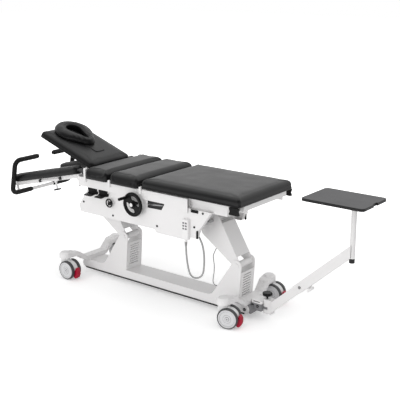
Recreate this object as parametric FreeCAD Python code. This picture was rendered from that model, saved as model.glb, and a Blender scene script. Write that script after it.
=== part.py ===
import FreeCAD, Part
import math
import os

# A powered three-part traction table with a traction-unit stand on its base.
# All sizes are in millimetres. While it is modelled, +X points to the foot end, +Y to the
# far side and z = 0 is the floor. At export the whole table is moved so that its origin
# lies under the middle of its overall box.

# Gaps and fits that many pieces share
running_gap = 0.05
air_gap = 0.4
side_gap = 1.0
overlap = 1.0

# Base beam and towers
plate_thickness = 6.0
base_width = 145.0
beam_bottom = 23.0
beam_top = 85.0
beam_head_end = -692.0
beam_foot_end = 682.0
pivot_spacing = 896.0
foot_pivot_x = 590.0
lower_pivot_z = 311.0
tower_lug_radius = 33.0
tower_root_run = 185.0
tower_heel_run = 16.0
tower_fillet = 60.0
pin_radius = 10.0
pin_head_radius = 15.0
pin_head_height = 4.0
cover_sheet = 2.5
cover_head_end = -628.0
seal_height = 9.0
seal_thickness = 3.0
louvre_slot_height = 7.0
louvre_pitch = 16.0
louvre_count = 9
louvre_bottom = 118.0
louvre_slot_inset = 26.0
tower_cover_top = 270.0

# Cross arms and their ribbed covers
foot_arm_inset = 42.5
head_arm_inset = 32.0
foot_arm_x = beam_foot_end - foot_arm_inset
head_arm_x = beam_head_end + head_arm_inset
cross_arm_width = 62.0
cross_arm_thickness = 27.0
cross_arm_rise = 53.0
cross_arm_knee = 92.0
cross_arm_shoulder = 168.0
cross_arm_bend = 24.0
castor_track = 239.0
boss_radius = 40.0
boss_dome = 11.0
castor_stem_offset = 23.0
rib_count = 9
rib_height = 2.4
rib_inset = 3.0
tread_thickness = 4.0
tread_margin = 5.0
tread_end_gap = 11.0

# Castors
wheel_radius = 62.5
wheel_width = 23.0
wheel_spacing = 60.0
tyre_edge = 5.0
hub_recess_radius = 50.0
hub_recess = 2.5
axle_radius = 8.0
axle_gap = 0.08
castor_trail = 38.0
hood_radius = 57.0
hood_half_width = 16.5
hood_underside = 39.0
hood_keel_radius = 30.0
hood_notch_reach = 31.0
hood_notch_top = 66.0
swivel_radius = 27.0
swivel_bottom = 128.0
swivel_gap = 0.6
stem_radius = 10.0
stem_length = 17.0
stem_end_gap = 1.5
pedal_start = 72.0
pedal_reach = 84.0
pedal_width = 31.0
pedal_height = 34.0
pedal_corner = 9.0
pedal_pin_x = 79.0
pedal_pin_z = 36.0
pedal_pin_radius = 4.0
pedal_pin_half_length = 13.0
pedal_tongue_half_width = 4.0
pedal_tongue_half_height = 6.0
pedal_slot_top = 47.0
pedal_slot_reach = 88.0
castor_turn_foot_near = 16.0
castor_turn_foot_far = 6.0
castor_turn_head_near = 2.0
castor_turn_head_far = 0.0

# Parallel lift arms
arm_length = 303.8
arm_angle = 53.4
arm_eye_radius = 23.0
arm_tube_radius = 20.0
arm_top_radius = 54.0
arm_heel_x = -50.0
arm_heel_z = -75.0
arm_heel_radius = 33.0
arm_web_thickness = 5.0
arm_web_low = 46.0
arm_web_high = 262.0

# Lift actuator, which lies along the deck and pulls on the heel of the foot arm
actuator_pin_radius = 8.0
actuator_rod_radius = 11.0
actuator_tube_radius = 30.0
actuator_tube_wall = 3.0
actuator_tube_offset = 7.0
actuator_slope = 20.7
actuator_rod_length = 200.0
actuator_tube_start = 62.0
actuator_tube_length = 188.0
actuator_tube_end_wall = 6.0
actuator_motor_radius = 34.0
actuator_motor_length = 150.0
actuator_motor_edge = 6.0
actuator_neck_radius = 10.0
actuator_rear_reach = 40.0
actuator_eye_radius = 17.0
actuator_eye_width = 22.0
hanger_thickness = 6.0
hanger_half_width = 18.0
hanger_corner = 8.0

# Deck rails and side panels
rail_outer_y = 252.0
rail_width = 30.0
rail_wall = 3.0
rail_bottom = 660.0
rail_top = 718.0
rail_head_end = -514.0
rail_foot_end = 367.0
gusset_run = 74.0
gusset_drop = 26.0
gusset_toe = 22.0
panel_face_y = 240.0
panel_sheet = 4.0
panel_flange = 22.0
panel_corner = 12.0
end_plate_thickness = 6.0
end_plate_bottom = 652.0
end_plate_top = 730.0
cross_member_height = 34.0
cross_member_width = 44.0
cross_member_wall = 3.0
head_member_x = -500.0
middle_member_x = -250.0
drive_member_x = -110.0
low_member_bottom = 600.0
plug_radius = 6.5
plug_height = 2.4
slot_block_x = 412.0
slot_block_length = 50.0
slot_block_bottom = 642.0
slot_block_height = 17.0
slot_block_depth = 6.0
slot_length = 36.0
slot_height = 5.0
bumper_x = 432.0
bumper_bottom = 489.0
bumper_width = 11.0
bumper_height = 48.0
bumper_edge = 3.0

# Cushions
deck_top = 788.0
cushion_half_width = 277.0
cushion_corner = 22.0
cushion_edge = 13.0
cushion_under_edge = 4.0
thoracic_head_end = -440.0
thoracic_foot_end = -251.0
lumbar_head_end = -231.0
lumbar_foot_end = 2.0
pelvic_head_end = 26.0
pelvic_foot_end = 749.0
pelvic_bottom = 728.0

# Head section, laid out along its slope from the hinge line
head_hinge_x = -449.0
head_hinge_z = 775.0
head_slope = 18.8
head_cushion_gap = 9.0
head_cushion_length = 512.0
head_cushion_thickness = 46.0
head_cushion_rise = 15.0
head_width_hinge = 186.0
head_width_end = 186.0
head_corner = 34.0
head_board_thickness = 10.0
head_board_half_width = 158.0
head_board_end = 496.0
head_cross_start = 15.0
head_cross_end = 62.0
head_rib_start = 100.0
head_rib_length = 300.0
head_rib_height = 22.0
head_rib_width = 24.0
head_rib_y = 118.0
pillow_head_centre = 389.0
pillow_head_radius = 129.0
pillow_foot_centre = 260.0
pillow_foot_radius = 53.0
pillow_height = 50.0
pillow_edge = 22.0
pillow_hole_near = 264.0
pillow_hole_far = 396.0
pillow_hole_radius = 54.0
pillow_throat_radius = 12.0
tab_start = 123.0
tab_half_width = 42.0
tab_height = 7.0
tab_corner = 12.0

# Hinge lugs in the gaps between the cushions
ear_thickness = 8.0
ear_half_width = 8.0
ear_outer_y = 264.0
ear_root = 694.0
ear_step = 2.0
hinge_pin_radius = 4.0
hinge_pin_length = 24.0
middle_lug_z = 730.0

# Arm rests and handlebar, laid out along their slope from the hinge line
armrest_hinge_x = -540.0
armrest_hinge_z = 697.0
armrest_slope = 13.5
armrest_tube_radius = 11.0
armrest_pin_radius = 6.0
armrest_lug_inner_y = 228.0
armrest_lug_outer_y = 236.0
armrest_pin_inner_y = 200.0
armrest_cross_along = 300.0
armrest_cross_radius = 12.0
pad_centre_y = 211.0
pad_width = 80.0
pad_thickness = 52.0
pad_length = 628.0
pad_edge = 12.0
pad_corner = 26.0
pad_under_edge = 3.0
guide_bottom = 1.0
guide_height = 26.0
guide_width = 30.0
guide_wall = 3.0
guide_end = 616.0
guide_slot_start = 520.0
guide_slot_length = 58.0
guide_slot_height = 7.0
stop_block_near = 163.0
stop_block_far = 363.0
stop_block_length = 15.0
stop_block_height = 20.0
stop_block_depth = 12.0
stop_rod_radius = 4.0
slide_bar_start = 330.0
slide_bar_end = 646.0
strap_start = 632.0
strap_end = 644.0
strap_half_width = 6.0
strap_top = 22.0
strap_bottom = -56.0
grip_tube_radius = 12.5
grip_foam_radius = 16.5
grip_upper_x = -1101.0
grip_upper_z = 740.0
grip_lower_x = -1150.0
grip_lower_z = 505.0
grip_outer_y = 269.0
grip_upper_inner_y = 70.0
grip_lower_inner_y = 96.0
grip_bend_radius = 42.0
clamp_knob_along = 237.0
clamp_knob_y = 214.0
clamp_boss_radius = 10.0
clamp_boss_height = 11.0
clamp_boss_roof = 3.0
clamp_stem_radius = 6.0
clamp_stem_length = 50.0
clamp_disc_radius = 25.0
clamp_disc_height = 9.0

# Flexion of the foot section, and its handwheel drive
gear_module = 2.5
pinion_teeth = 12
sector_wheel_teeth = 79
sector_start_angle = 220.0
sector_end_angle = 256.0
sector_rim_depth = 16.0
gear_backlash = 0.75
gear_addendum = 1.8
gear_dedendum = 3.1
pressure_angle = 20.0
gear_inner_y = 172.0
handwheel_x = -29.0
handwheel_z = 623.0
flexion_hinge_x = 14.0
inner_rail_outer_y = 212.0
inner_rail_width = 30.0
inner_rail_bottom = 648.0
inner_rail_top = 698.0
inner_rail_head_end = 34.0
inner_rail_foot_end = 621.0
inner_rail_wall = 3.0
inner_cap_length = 22.0
cheek_thickness = 8.0
cheek_reach = 25.0
flexion_tube_radius = 14.0
flexion_tube_x = 80.0
flexion_tube_foot_x = 560.0
carriage_rail_inner_y = 172.0
carriage_rail_outer_y = 218.0
carriage_head_end = 60.0
carriage_foot_end = 735.0
carriage_lip_start = 100.0
carriage_lip_thickness = 5.0
carriage_lip_bottom = 680.0
flexion_tube_z = carriage_lip_bottom - flexion_tube_radius - 2 * side_gap
carriage_bar_width = 50.0
carriage_bar_count = 4
cleat_start = 673.0
cleat_length = 70.0
cleat_inner_y = 262.0
cleat_outer_y = 275.0
cleat_bottom = 686.0
cleat_waist = 8.0
cleat_corner = 4.0

# Handwheel, ring knob and release levers
wheel_plane_y = 280.0
wheel_rim_radius = 67.0
wheel_rim_section = 8.0
wheel_web_thickness = 7.0
wheel_web_radius = 62.0
wheel_hub_radius = 18.0
wheel_hub_inner_y = 262.0
wheel_hub_outer_y = 292.0
wheel_cap_radius = 12.0
wheel_cap_height = 4.0
kidney_inner_radius = 27.0
kidney_outer_radius = 52.0
kidney_span = 120.0
wheel_shaft_radius = 8.0
wheel_shaft_end_y = 226.0
pinion_shaft_end_y = 222.0
wheel_grip_angle = 140.0
wheel_grip_reach = 60.0
wheel_grip_radius = 9.5
wheel_grip_inner_y = 289.0
wheel_grip_outer_y = 352.0
wheel_bolt_radius = 3.0
gearbox_radius = 34.0
gearbox_depth = 24.0
ring_knob_x = -243.0
ring_knob_z = 591.0
ring_knob_y = 262.0
ring_knob_radius = 25.0
ring_knob_section = 4.0
ring_knob_hub_radius = 9.0
ring_knob_spokes = 3
ring_knob_shaft_radius = 6.0
ring_knob_boss_radius = 13.0
ring_knob_boss_depth = 10.0
ring_knob_grip_radius = 6.0
ring_knob_grip_length = 24.0
lever_head_start = -434.0
lever_head_end = -354.0
lever_arm_start = -341.0
lever_arm_end = -263.0
lever_lip_inset = 10.0
lever_pin_y = 246.5
lever_pin_z = 653.0
lever_pin_radius = 2.5
lever_barrel_radius = 5.0
lever_drop_z = 628.0
lever_reach_y = 300.0
lever_thickness = 5.0
lever_bend = 6.0
lever_ear_thickness = 4.0
lever_ear_outer_y = 251.5
lever_ear_bottom = 646.0

# Hand control
handset_x = 356.0
handset_top = 597.0
handset_bottom = 473.0
handset_width = 46.0
handset_depth = 24.0
handset_edge = 7.0
gland_radius = 8.0
handset_gland_length = 14.0
lead_radius = 5.5
lead_lug_x = 345.0
lead_lug_length = 16.0
lead_inner_y = 200.0
lead_outer_y = 252.0

# Earth lead inside the foot arm
earth_lead_radius = 3.0
earth_lead_y = 40.0
earth_clip_x = 424.0
earth_clip_bottom = 404.4
earth_clip_length = 12.0
earth_clip_height = 8.0
earth_lug_x = 480.0
earth_lug_z = 150.0
earth_lug_length = 12.0
earth_lug_height = 16.0

# Stand for the traction unit
bracket_start = 636.0
bracket_tongue_end = 692.0
bracket_tongue_bottom = 34.0
bracket_tongue_top = 82.0
bracket_body_start = foot_arm_x + cross_arm_width / 2.0 + side_gap
bracket_body_end = 745.0
bracket_half_width = 38.0
bracket_bottom = 52.0
bracket_top = 96.0
bracket_edge = 3.0
bracket_cover_start = 673.0
bracket_cover_height = 20.0
bracket_cover_corner = 10.0
bracket_slot_start = 690.0
bracket_slot_length = 44.0
bracket_slot_height = 4.0
bracket_slot_depth = 4.0
bracket_bolt_radius = 8.0
bracket_bolt_height = 4.0
bracket_bolt_one_x = 684.0
bracket_bolt_two_x = 719.0
bracket_bolt_z = 81.0
bracket_pin_radius = 9.0
bracket_pin_head = 4.0
swivel_x = 761.0
swivel_boss_radius = 22.0
swivel_root_end = 800.0
swivel_root_bottom = 40.0
swivel_tongue_bottom = 66.0
swivel_tongue_top = 82.0
swivel_tongue_half_width = 16.0
stand_pivot_radius = 9.0
stand_hub_top = 128.0
stand_knob_stem_radius = 6.0
stand_knob_socket = 14.0
stand_knob_bottom = 149.0
stand_knob_height = 17.0
stand_knob_radius = 29.0
stand_knob_edge = 4.0
stand_knob_lobes = 5
stand_knob_notch_radius = 11.0
stand_knob_notch_reach = 35.0
stand_knob_hub_radius = 11.0
stand_knob_hub_drop = 8.0
beam_slope = 42.2
beam_root_x = 766.0
beam_root_z = 56.0
beam_depth = 48.0
beam_width = 40.0
beam_wall = 3.0
beam_clearance = 0.5
lower_beam_length = 470.0
upper_beam_start = 262.0
beam_bolt_along = 300.0
beam_bolt_radius = 7.0
beam_bolt_height = 4.0
clamp_hub_along = 341.0
clamp_hub_radius = 15.0
clamp_hub_height = 4.0
beam_knob_radius = 23.0
beam_knob_height = 15.0
beam_knob_edge = 4.0
beam_knob_stem_radius = 6.0
beam_knob_gap = 3.0
post_x = 1291.0
post_bottom = 466.0
post_radius = 15.5
post_top = 793.0
tray_head_end = 1041.0
tray_foot_end = 1411.0
tray_half_width = 140.0
tray_thickness = 16.0
tray_corner = 24.0
tray_edge = 3.0
tray_bottom = 799.0
tray_notch_half_width = 22.0
tray_notch_depth = 9.0
tray_socket_radius = 30.0
tray_socket_bottom = 770.0

# Derived places that several pieces share
plate_face = base_width / 2.0
plate_inner = plate_face - plate_thickness
beam_nose = (beam_top - beam_bottom) / 2.0
beam_middle_z = (beam_top + beam_bottom) / 2.0
beam_pin_x = beam_foot_end - beam_nose
head_pivot_x = foot_pivot_x - pivot_spacing
arm_run = arm_length * math.cos(math.radians(arm_angle))
arm_rise = arm_length * math.sin(math.radians(arm_angle))
upper_pivot_z = lower_pivot_z + arm_rise
arm_face = plate_inner - side_gap
arm_inner = arm_face - plate_thickness
boss_underside = beam_top + cross_arm_rise
gear_centres = gear_module * (pinion_teeth + sector_wheel_teeth) / 2.0
flexion_hinge_z = handwheel_z + math.sqrt(gear_centres ** 2 - (flexion_hinge_x - handwheel_x) ** 2)
gear_outer_y = inner_rail_outer_y - inner_rail_width
rail_inner_y = rail_outer_y - rail_width
panel_inner_y = panel_face_y - panel_sheet
moving_ear_outer_y = ear_outer_y - ear_thickness - ear_step
slide_gap = air_gap
tray_top = tray_bottom + tray_thickness

V = FreeCAD.Vector
X_AXIS = V(1, 0, 0)
Y_AXIS = V(0, 1, 0)
Z_AXIS = V(0, 0, 1)


# Shapes that the pieces are made from

def box(x0, x1, y0, y1, z0, z1):
    return Part.makeBox(x1 - x0, y1 - y0, z1 - z0, V(x0, y0, z0))


def rod(start, end, radius):
    start = V(*start)
    end = V(*end)
    return Part.makeCylinder(radius, (end - start).Length, start, end - start)


def cross_rod(x, z, y0, y1, radius):
    """Round bar across the table at (x, z)."""
    return rod((x, y0, z), (x, y1, z), radius)


def fuse(shapes):
    whole = shapes[0]
    for extra in shapes[1:]:
        whole = whole.fuse(extra)
    return whole.removeSplitter()


def cut(shape, tools):
    for tool in tools:
        shape = shape.cut(tool)
    return shape.removeSplitter()


def corner_arc(before, corner, after, radius):
    """Gives the two tangent points and the middle point of a rounded corner."""
    into = (before - corner).normalize()
    out = (after - corner).normalize()
    half = into.getAngle(out) / 2.0
    reach = radius / math.tan(half)
    bisector = (into + out).normalize()
    middle = corner + bisector * (radius / math.sin(half) - radius)
    return corner + into * reach, middle, corner + out * reach


def rounded_wire(corners):
    """Closed wire through (point, radius) corners; a radius of 0 leaves the corner sharp."""
    count = len(corners)
    spans = []
    for index, (point, radius) in enumerate(corners):
        if radius > 0:
            before = corners[index - 1][0]
            after = corners[(index + 1) % count][0]
            spans.append(corner_arc(before, point, after, radius))
        else:
            spans.append((point, None, point))
    edges = []
    for index, (start, middle, end) in enumerate(spans):
        if middle is not None:
            edges.append(Part.Arc(start, middle, end).toShape())
        following = spans[(index + 1) % count][0]
        if (following - end).Length > 1e-6:
            edges.append(Part.LineSegment(end, following).toShape())
    return Part.Wire(edges)


def side_profile(corners, y0, y1):
    """Extrudes an outline given as (x, z, radius) from y0 to y1."""
    wire = rounded_wire([(V(x, y0, z), radius) for x, z, radius in corners])
    return Part.Face(wire).extrude(V(0, y1 - y0, 0))


def plan_profile(corners, z0, z1):
    """Extrudes an outline given as (x, y, radius) from z0 to z1."""
    wire = rounded_wire([(V(x, y, z0), radius) for x, y, radius in corners])
    return Part.Face(wire).extrude(V(0, 0, z1 - z0))


def end_profile(corners, x0, x1):
    """Extrudes an outline given as (y, z, radius) from x0 to x1."""
    wire = rounded_wire([(V(x0, y, z), radius) for y, z, radius in corners])
    return Part.Face(wire).extrude(V(x1 - x0, 0, 0))


def mirrored(shape):
    """The same piece on the other side of the table's middle plane."""
    return shape.mirror(V(0, 0, 0), Y_AXIS)


def both_sides(shape):
    return [shape, mirrored(shape)]


def pipe(points, bends, radius):
    """Round bar along straight runs joined by tangent bends of the given radii."""
    points = [V(*point) for point in points]
    edges = []
    start = points[0]
    for index in range(1, len(points) - 1):
        first, middle, last = corner_arc(points[index - 1], points[index], points[index + 1],
                                         bends[index - 1])
        if (first - start).Length > 1e-6:
            edges.append(Part.LineSegment(start, first).toShape())
        edges.append(Part.Arc(first, middle, last).toShape())
        start = last
    edges.append(Part.LineSegment(start, points[-1]).toShape())
    path = Part.Wire(edges)
    section = Part.Wire(Part.Circle(points[0], points[1] - points[0], radius).toShape())
    return path.makePipeShell([section], True, True), path.Length


def cord(points, radius):
    """Flexible lead with the largest bends that its straight runs allow."""
    ends = [V(*point) for point in points]
    bends = []
    for index in range(1, len(ends) - 1):
        into = ends[index - 1] - ends[index]
        out = ends[index + 1] - ends[index]
        half_turn = (math.pi - into.getAngle(out)) / 2.0
        bends.append(0.45 * min(into.Length, out.Length) / math.tan(half_turn))
    shape, length = pipe(points, bends, radius)
    section = math.pi * radius ** 2
    print("lead length %.1f mm, volume ratio %.4f, bends %s" % (
        length, shape.Volume / (section * length), [round(bend, 1) for bend in bends]))
    return shape


def slab(corners, z0, z1, edge, under_edge):
    """Flat slab with soft edges: its outline rises straight and its rims are rounded."""
    body = plan_profile(corners, z0, z1)
    top = [item for item in body.Edges if item.BoundBox.ZMin > z1 - 1e-3]
    body = body.makeFillet(edge, top)
    bottom = [item for item in body.Edges if item.BoundBox.ZMax < z0 + 1e-3]
    return body.makeFillet(under_edge, bottom)


def rectangle(x0, x1, half_width, corner):
    return [(x0, -half_width, corner), (x1, -half_width, corner),
            (x1, half_width, corner), (x0, half_width, corner)]


def turned(shape, pivot, axis, degrees):
    moved = shape.copy()
    moved.rotate(V(*pivot), axis, degrees)
    return moved


def tangent_point(outside, centre, radius, side):
    """Where a line from an outside point touches a circle; side is +1 or -1. Points are (x, z)."""
    dx = centre[0] - outside[0]
    dz = centre[1] - outside[1]
    reach = math.hypot(dx, dz)
    heading = math.atan2(dz, dx) + side * math.asin(radius / reach)
    length = math.sqrt(reach ** 2 - radius ** 2)
    return outside[0] + length * math.cos(heading), outside[1] + length * math.sin(heading)


def belt_points(one, two, side):
    """Tangent points of an outer tangent of two circles given as (x, z, radius)."""
    dx = two[0] - one[0]
    dz = two[1] - one[1]
    reach = math.hypot(dx, dz)
    normal = math.atan2(dz, dx) + side * math.acos((one[2] - two[2]) / reach)
    out = (math.cos(normal), math.sin(normal))
    return [(c[0] + out[0] * c[2], c[1] + out[1] * c[2]) for c in (one, two)]


def belt_plate(one, two, y0, y1):
    """Plate that wraps two circles and the straight tangents between them."""
    left = belt_points(one, two, 1)
    right = belt_points(one, two, -1)
    strip = side_profile([(left[0][0], left[0][1], 0), (left[1][0], left[1][1], 0),
                          (right[1][0], right[1][1], 0), (right[0][0], right[0][1], 0)], y0, y1)
    discs = [cross_rod(c[0], c[1], y0, y1, c[2]) for c in (one, two)]
    return fuse([strip] + discs)


# Base

def tower(pivot_x):
    """Leaning tower: a straight flank with a round root, a heel and a lug for the pivot."""
    root = (pivot_x - tower_root_run, beam_top)
    heel = (pivot_x + tower_heel_run, beam_top)
    lug = (pivot_x, lower_pivot_z)
    left = tangent_point(root, lug, tower_lug_radius, 1)
    right = tangent_point(heel, lug, tower_lug_radius, -1)
    foot = beam_top - plate_thickness
    start = root[0] - tower_fillet
    shape = side_profile([(start, foot, 0), (start, beam_top, 0),
                          (root[0], beam_top, tower_fillet),
                          (left[0], left[1], 0), (right[0], right[1], 0),
                          (heel[0], beam_top, 0), (heel[0], foot, 0)], -plate_face, -plate_inner)
    disc = cross_rod(pivot_x, lower_pivot_z, -plate_face, -plate_inner, tower_lug_radius)
    return shape.fuse(disc)


def base_side_plates():
    """Two long plates, each a beam with two leaning towers and rounded ends."""
    beam = side_profile([(beam_head_end, beam_bottom, beam_nose),
                         (beam_foot_end, beam_bottom, beam_nose),
                         (beam_foot_end, beam_top, beam_nose),
                         (beam_head_end, beam_top, beam_nose)], -plate_face, -plate_inner)
    plate = fuse([beam, tower(foot_pivot_x), tower(head_pivot_x)])
    holes = [(foot_pivot_x, lower_pivot_z, pin_radius), (head_pivot_x, lower_pivot_z, pin_radius),
             (beam_pin_x, beam_middle_z, bracket_pin_radius)]
    drills = [cross_rod(x, z, -plate_face - overlap, -plate_inner + overlap, radius)
              for x, z, radius in holes]
    return both_sides(cut(plate, drills))


def base_top_cover():
    """Folded channel that closes the beam between the side plates."""
    foot = foot_pivot_x + tower_heel_run
    skirt = beam_bottom + seal_height
    outer = box(cover_head_end, foot, -plate_inner, plate_inner, skirt, beam_top)
    half = plate_inner - cover_sheet
    inner = box(cover_head_end - overlap, foot + overlap, -half, half,
                skirt - overlap, beam_top - cover_sheet)
    return outer.cut(inner)


def tower_louvre(pivot_x, low_z):
    """Slotted cover on the foot side of a tower, between its two plates."""
    heel = (pivot_x + tower_heel_run, beam_top)
    lug = (pivot_x, lower_pivot_z)
    touch = tangent_point(heel, lug, tower_lug_radius, -1)
    lean = (touch[0] - heel[0]) / (touch[1] - heel[1])
    low_x = heel[0] + lean * (low_z - beam_top)
    high_x = heel[0] + lean * (tower_cover_top - beam_top)
    sheet = side_profile([(low_x - cover_sheet, low_z, 0), (low_x, low_z, 0),
                          (high_x, tower_cover_top, 0), (high_x - cover_sheet, tower_cover_top, 0)],
                         -plate_inner, plate_inner)
    slots = []
    reach = plate_inner - louvre_slot_inset
    for index in range(louvre_count):
        z = louvre_bottom + index * louvre_pitch
        x = heel[0] + lean * (z - beam_top)
        slots.append(box(x - 3 * cover_sheet, x + 3 * cover_sheet, -reach, reach,
                         z, z + louvre_slot_height))
    return cut(sheet, slots)


def base_covers():
    """Top cover, one louvred cover on each tower, and the clip of the earth lead."""
    above_arm = beam_top + cross_arm_thickness + air_gap
    return [base_top_cover(), tower_louvre(foot_pivot_x, above_arm),
            tower_louvre(head_pivot_x, beam_top), earth_lug()]


def earth_lug():
    """Small clip on the inner face of the near foot tower that holds the earth lead."""
    half = earth_lug_height / 2.0
    return box(earth_lug_x, earth_lug_x + earth_lug_length, -plate_inner,
               -earth_lead_y + 2 * earth_lead_radius, earth_lug_z - half, earth_lug_z + half)


def seal_strips():
    """Dark strip along the bottom edge of each side plate."""
    strip = box(beam_head_end + beam_nose, beam_foot_end - beam_nose, -plate_face - seal_thickness,
                -plate_face, beam_bottom, beam_bottom + seal_height)
    return both_sides(strip)


def cross_arm(centre_x):
    """Cranked arm across the beam that rises to a domed castor boss on each side."""
    half = cross_arm_width / 2.0
    stem_x = centre_x - castor_stem_offset
    low = beam_top
    top = boss_underside + cross_arm_thickness
    plan = plan_profile([(centre_x - half, 0, 0), (centre_x + half, 0, 0),
                         (centre_x + half, -cross_arm_knee, cross_arm_bend),
                         (stem_x + boss_radius, -castor_track, 0),
                         (stem_x - boss_radius, -castor_track, 0),
                         (centre_x - half, -cross_arm_knee, cross_arm_bend)], low, top)
    disc = rod((stem_x, -castor_track, low), (stem_x, -castor_track, top), boss_radius)
    far = castor_track + boss_radius + overlap
    band = end_profile([(overlap, low, 0), (-cross_arm_knee, low, cross_arm_bend),
                        (-cross_arm_shoulder, boss_underside, cross_arm_bend),
                        (-far, boss_underside, 0), (-far, top, 0),
                        (-cross_arm_shoulder, top, cross_arm_bend),
                        (-cross_arm_knee, low + cross_arm_thickness, cross_arm_bend),
                        (overlap, low + cross_arm_thickness, 0)],
                       centre_x - 2 * cross_arm_width, centre_x + 2 * cross_arm_width)
    dome = Part.makeCone(boss_radius, boss_radius - boss_dome, boss_dome,
                         V(stem_x, -castor_track, top), Z_AXIS)
    socket = rod((stem_x, -castor_track, boss_underside - overlap),
                 (stem_x, -castor_track, boss_underside + stem_length + stem_end_gap),
                 stem_radius + axle_gap)
    near = plan.fuse(disc).common(band).fuse(dome).cut(socket)
    return fuse(both_sides(near))


def cross_arms():
    return [cross_arm(foot_arm_x), cross_arm(head_arm_x)]


def tread(centre_x):
    """Ribbed plastic tread on the rising part of a cross arm."""
    half = cross_arm_width / 2.0 - tread_margin
    run = cross_arm_shoulder - cross_arm_knee
    length = math.hypot(run, cross_arm_rise)
    slope = math.degrees(math.atan2(cross_arm_rise, run))
    stem_shift = castor_stem_offset * 0.5 * run / (castor_track - cross_arm_knee)
    shape = box(centre_x - half, centre_x + half, tread_end_gap, length - tread_end_gap,
                0, tread_thickness)
    pitch = (length - 2 * tread_end_gap) / (rib_count + 1)
    for index in range(rib_count):
        y = tread_end_gap + (index + 1) * pitch
        rib = box(centre_x - half + rib_inset, centre_x + half - rib_inset,
                  y - pitch / 4.0, y + pitch / 4.0, tread_thickness / 2.0,
                  tread_thickness + rib_height)
        shape = shape.fuse(rib)
    shape.translate(V(-stem_shift, 0, 0))
    shape.rotate(V(0, 0, 0), X_AXIS, slope)
    shape.translate(V(0, cross_arm_knee, beam_top + cross_arm_thickness))
    return shape


def cross_arm_covers():
    return both_sides(tread(foot_arm_x)) + both_sides(tread(head_arm_x))


def lower_pivot_pins():
    """Headed pins through the tower lugs, on which the lift arms turn."""
    pins = []
    for x in (foot_pivot_x, head_pivot_x):
        shank = cross_rod(x, lower_pivot_z, -plate_face, plate_face, pin_radius)
        near = cross_rod(x, lower_pivot_z, -plate_face - pin_head_height, -plate_face,
                         pin_head_radius)
        pins.append(fuse([shank] + both_sides(near)))
    return pins


def stand_bracket():
    """Cast block between the foot noses that carries the stand, with pin and bolt heads."""
    tongue = box(bracket_start, bracket_tongue_end, -plate_inner, plate_inner,
                 bracket_tongue_bottom, bracket_tongue_top)
    body = box(bracket_body_start, bracket_body_end, -bracket_half_width, bracket_half_width,
               bracket_bottom, bracket_top)
    lug = fuse([box(bracket_body_start + overlap, swivel_x, -swivel_tongue_half_width,
                    swivel_tongue_half_width, swivel_tongue_bottom, swivel_tongue_top),
                rod((swivel_x, 0, swivel_tongue_bottom), (swivel_x, 0, swivel_tongue_top),
                    swivel_tongue_half_width)])
    pin_reach = plate_face + bracket_pin_head
    pin = cross_rod(beam_pin_x, beam_middle_z, -pin_reach, pin_reach, bracket_pin_radius)
    bolt_reach = bracket_half_width + bracket_bolt_height
    bolts = [cross_rod(x, bracket_bolt_z, -bolt_reach, bolt_reach, bracket_bolt_radius)
             for x in (bracket_bolt_one_x, bracket_bolt_two_x)]
    bore = rod((swivel_x, 0, bracket_bottom), (swivel_x, 0, bracket_top),
               stand_pivot_radius + running_gap)
    block = fuse([tongue, body, pin] + bolts).cut(swivel_sweep())
    return [fuse([block, lug]).cut(bore)]


def swivel_sweep():
    """Upright space that the round root of the stand arm turns in."""
    return rod((swivel_x, 0, 0), (swivel_x, 0, 2 * stand_hub_top),
               swivel_boss_radius + side_gap)


def stand_bracket_cover():
    """White cap over the bracket, with the slot that its lock runs in."""
    top = bracket_top + bracket_cover_height
    cap = slab(rectangle(bracket_cover_start, bracket_body_end, bracket_half_width,
                         bracket_cover_corner), bracket_top, top, bracket_edge, side_gap)
    middle = bracket_top + bracket_cover_height / 2.0
    slot = box(bracket_slot_start, bracket_slot_start + bracket_slot_length,
               -bracket_half_width - overlap, -bracket_half_width + bracket_slot_depth,
               middle, middle + bracket_slot_height)
    return [cut(cap, [slot, swivel_sweep()])]


# Castors

def castor_hood():
    """Fork body between the twin wheels, its swivel head, stem, axle and pedal pin."""
    hood = cross_rod(castor_trail, wheel_radius, -hood_half_width, hood_half_width, hood_radius)
    neck = box(-swivel_radius, castor_trail, -hood_half_width, hood_half_width,
               wheel_radius, swivel_bottom)
    below = box(-hood_radius, castor_trail + 2 * hood_radius, -hood_half_width - overlap,
                hood_half_width + overlap, 0, hood_underside)
    notch = box(castor_trail + hood_notch_reach, castor_trail + 2 * hood_radius,
                -hood_half_width - overlap, hood_half_width + overlap, 0, hood_notch_top)
    keel = cross_rod(castor_trail, wheel_radius, -hood_half_width, hood_half_width,
                     hood_keel_radius)
    stem_foot = boss_underside - swivel_gap
    head = rod((0, 0, swivel_bottom), (0, 0, stem_foot), swivel_radius)
    stem = rod((0, 0, swivel_bottom), (0, 0, stem_foot + stem_length), stem_radius)
    axle_reach = (wheel_spacing + wheel_width) / 2.0 - hub_recess
    axle = cross_rod(castor_trail, wheel_radius, -axle_reach, axle_reach, axle_radius)
    tongue = box(castor_trail + hood_keel_radius / 2.0, pedal_pin_x + pedal_tongue_half_height,
                 -pedal_tongue_half_width, pedal_tongue_half_width,
                 pedal_pin_z - pedal_tongue_half_height, pedal_pin_z + pedal_tongue_half_height)
    pin = cross_rod(pedal_pin_x, pedal_pin_z, -pedal_pin_half_length, pedal_pin_half_length,
                    pedal_pin_radius)
    return fuse([cut(hood.fuse(neck), [below, notch]), keel, head, stem, axle, tongue, pin])


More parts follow.
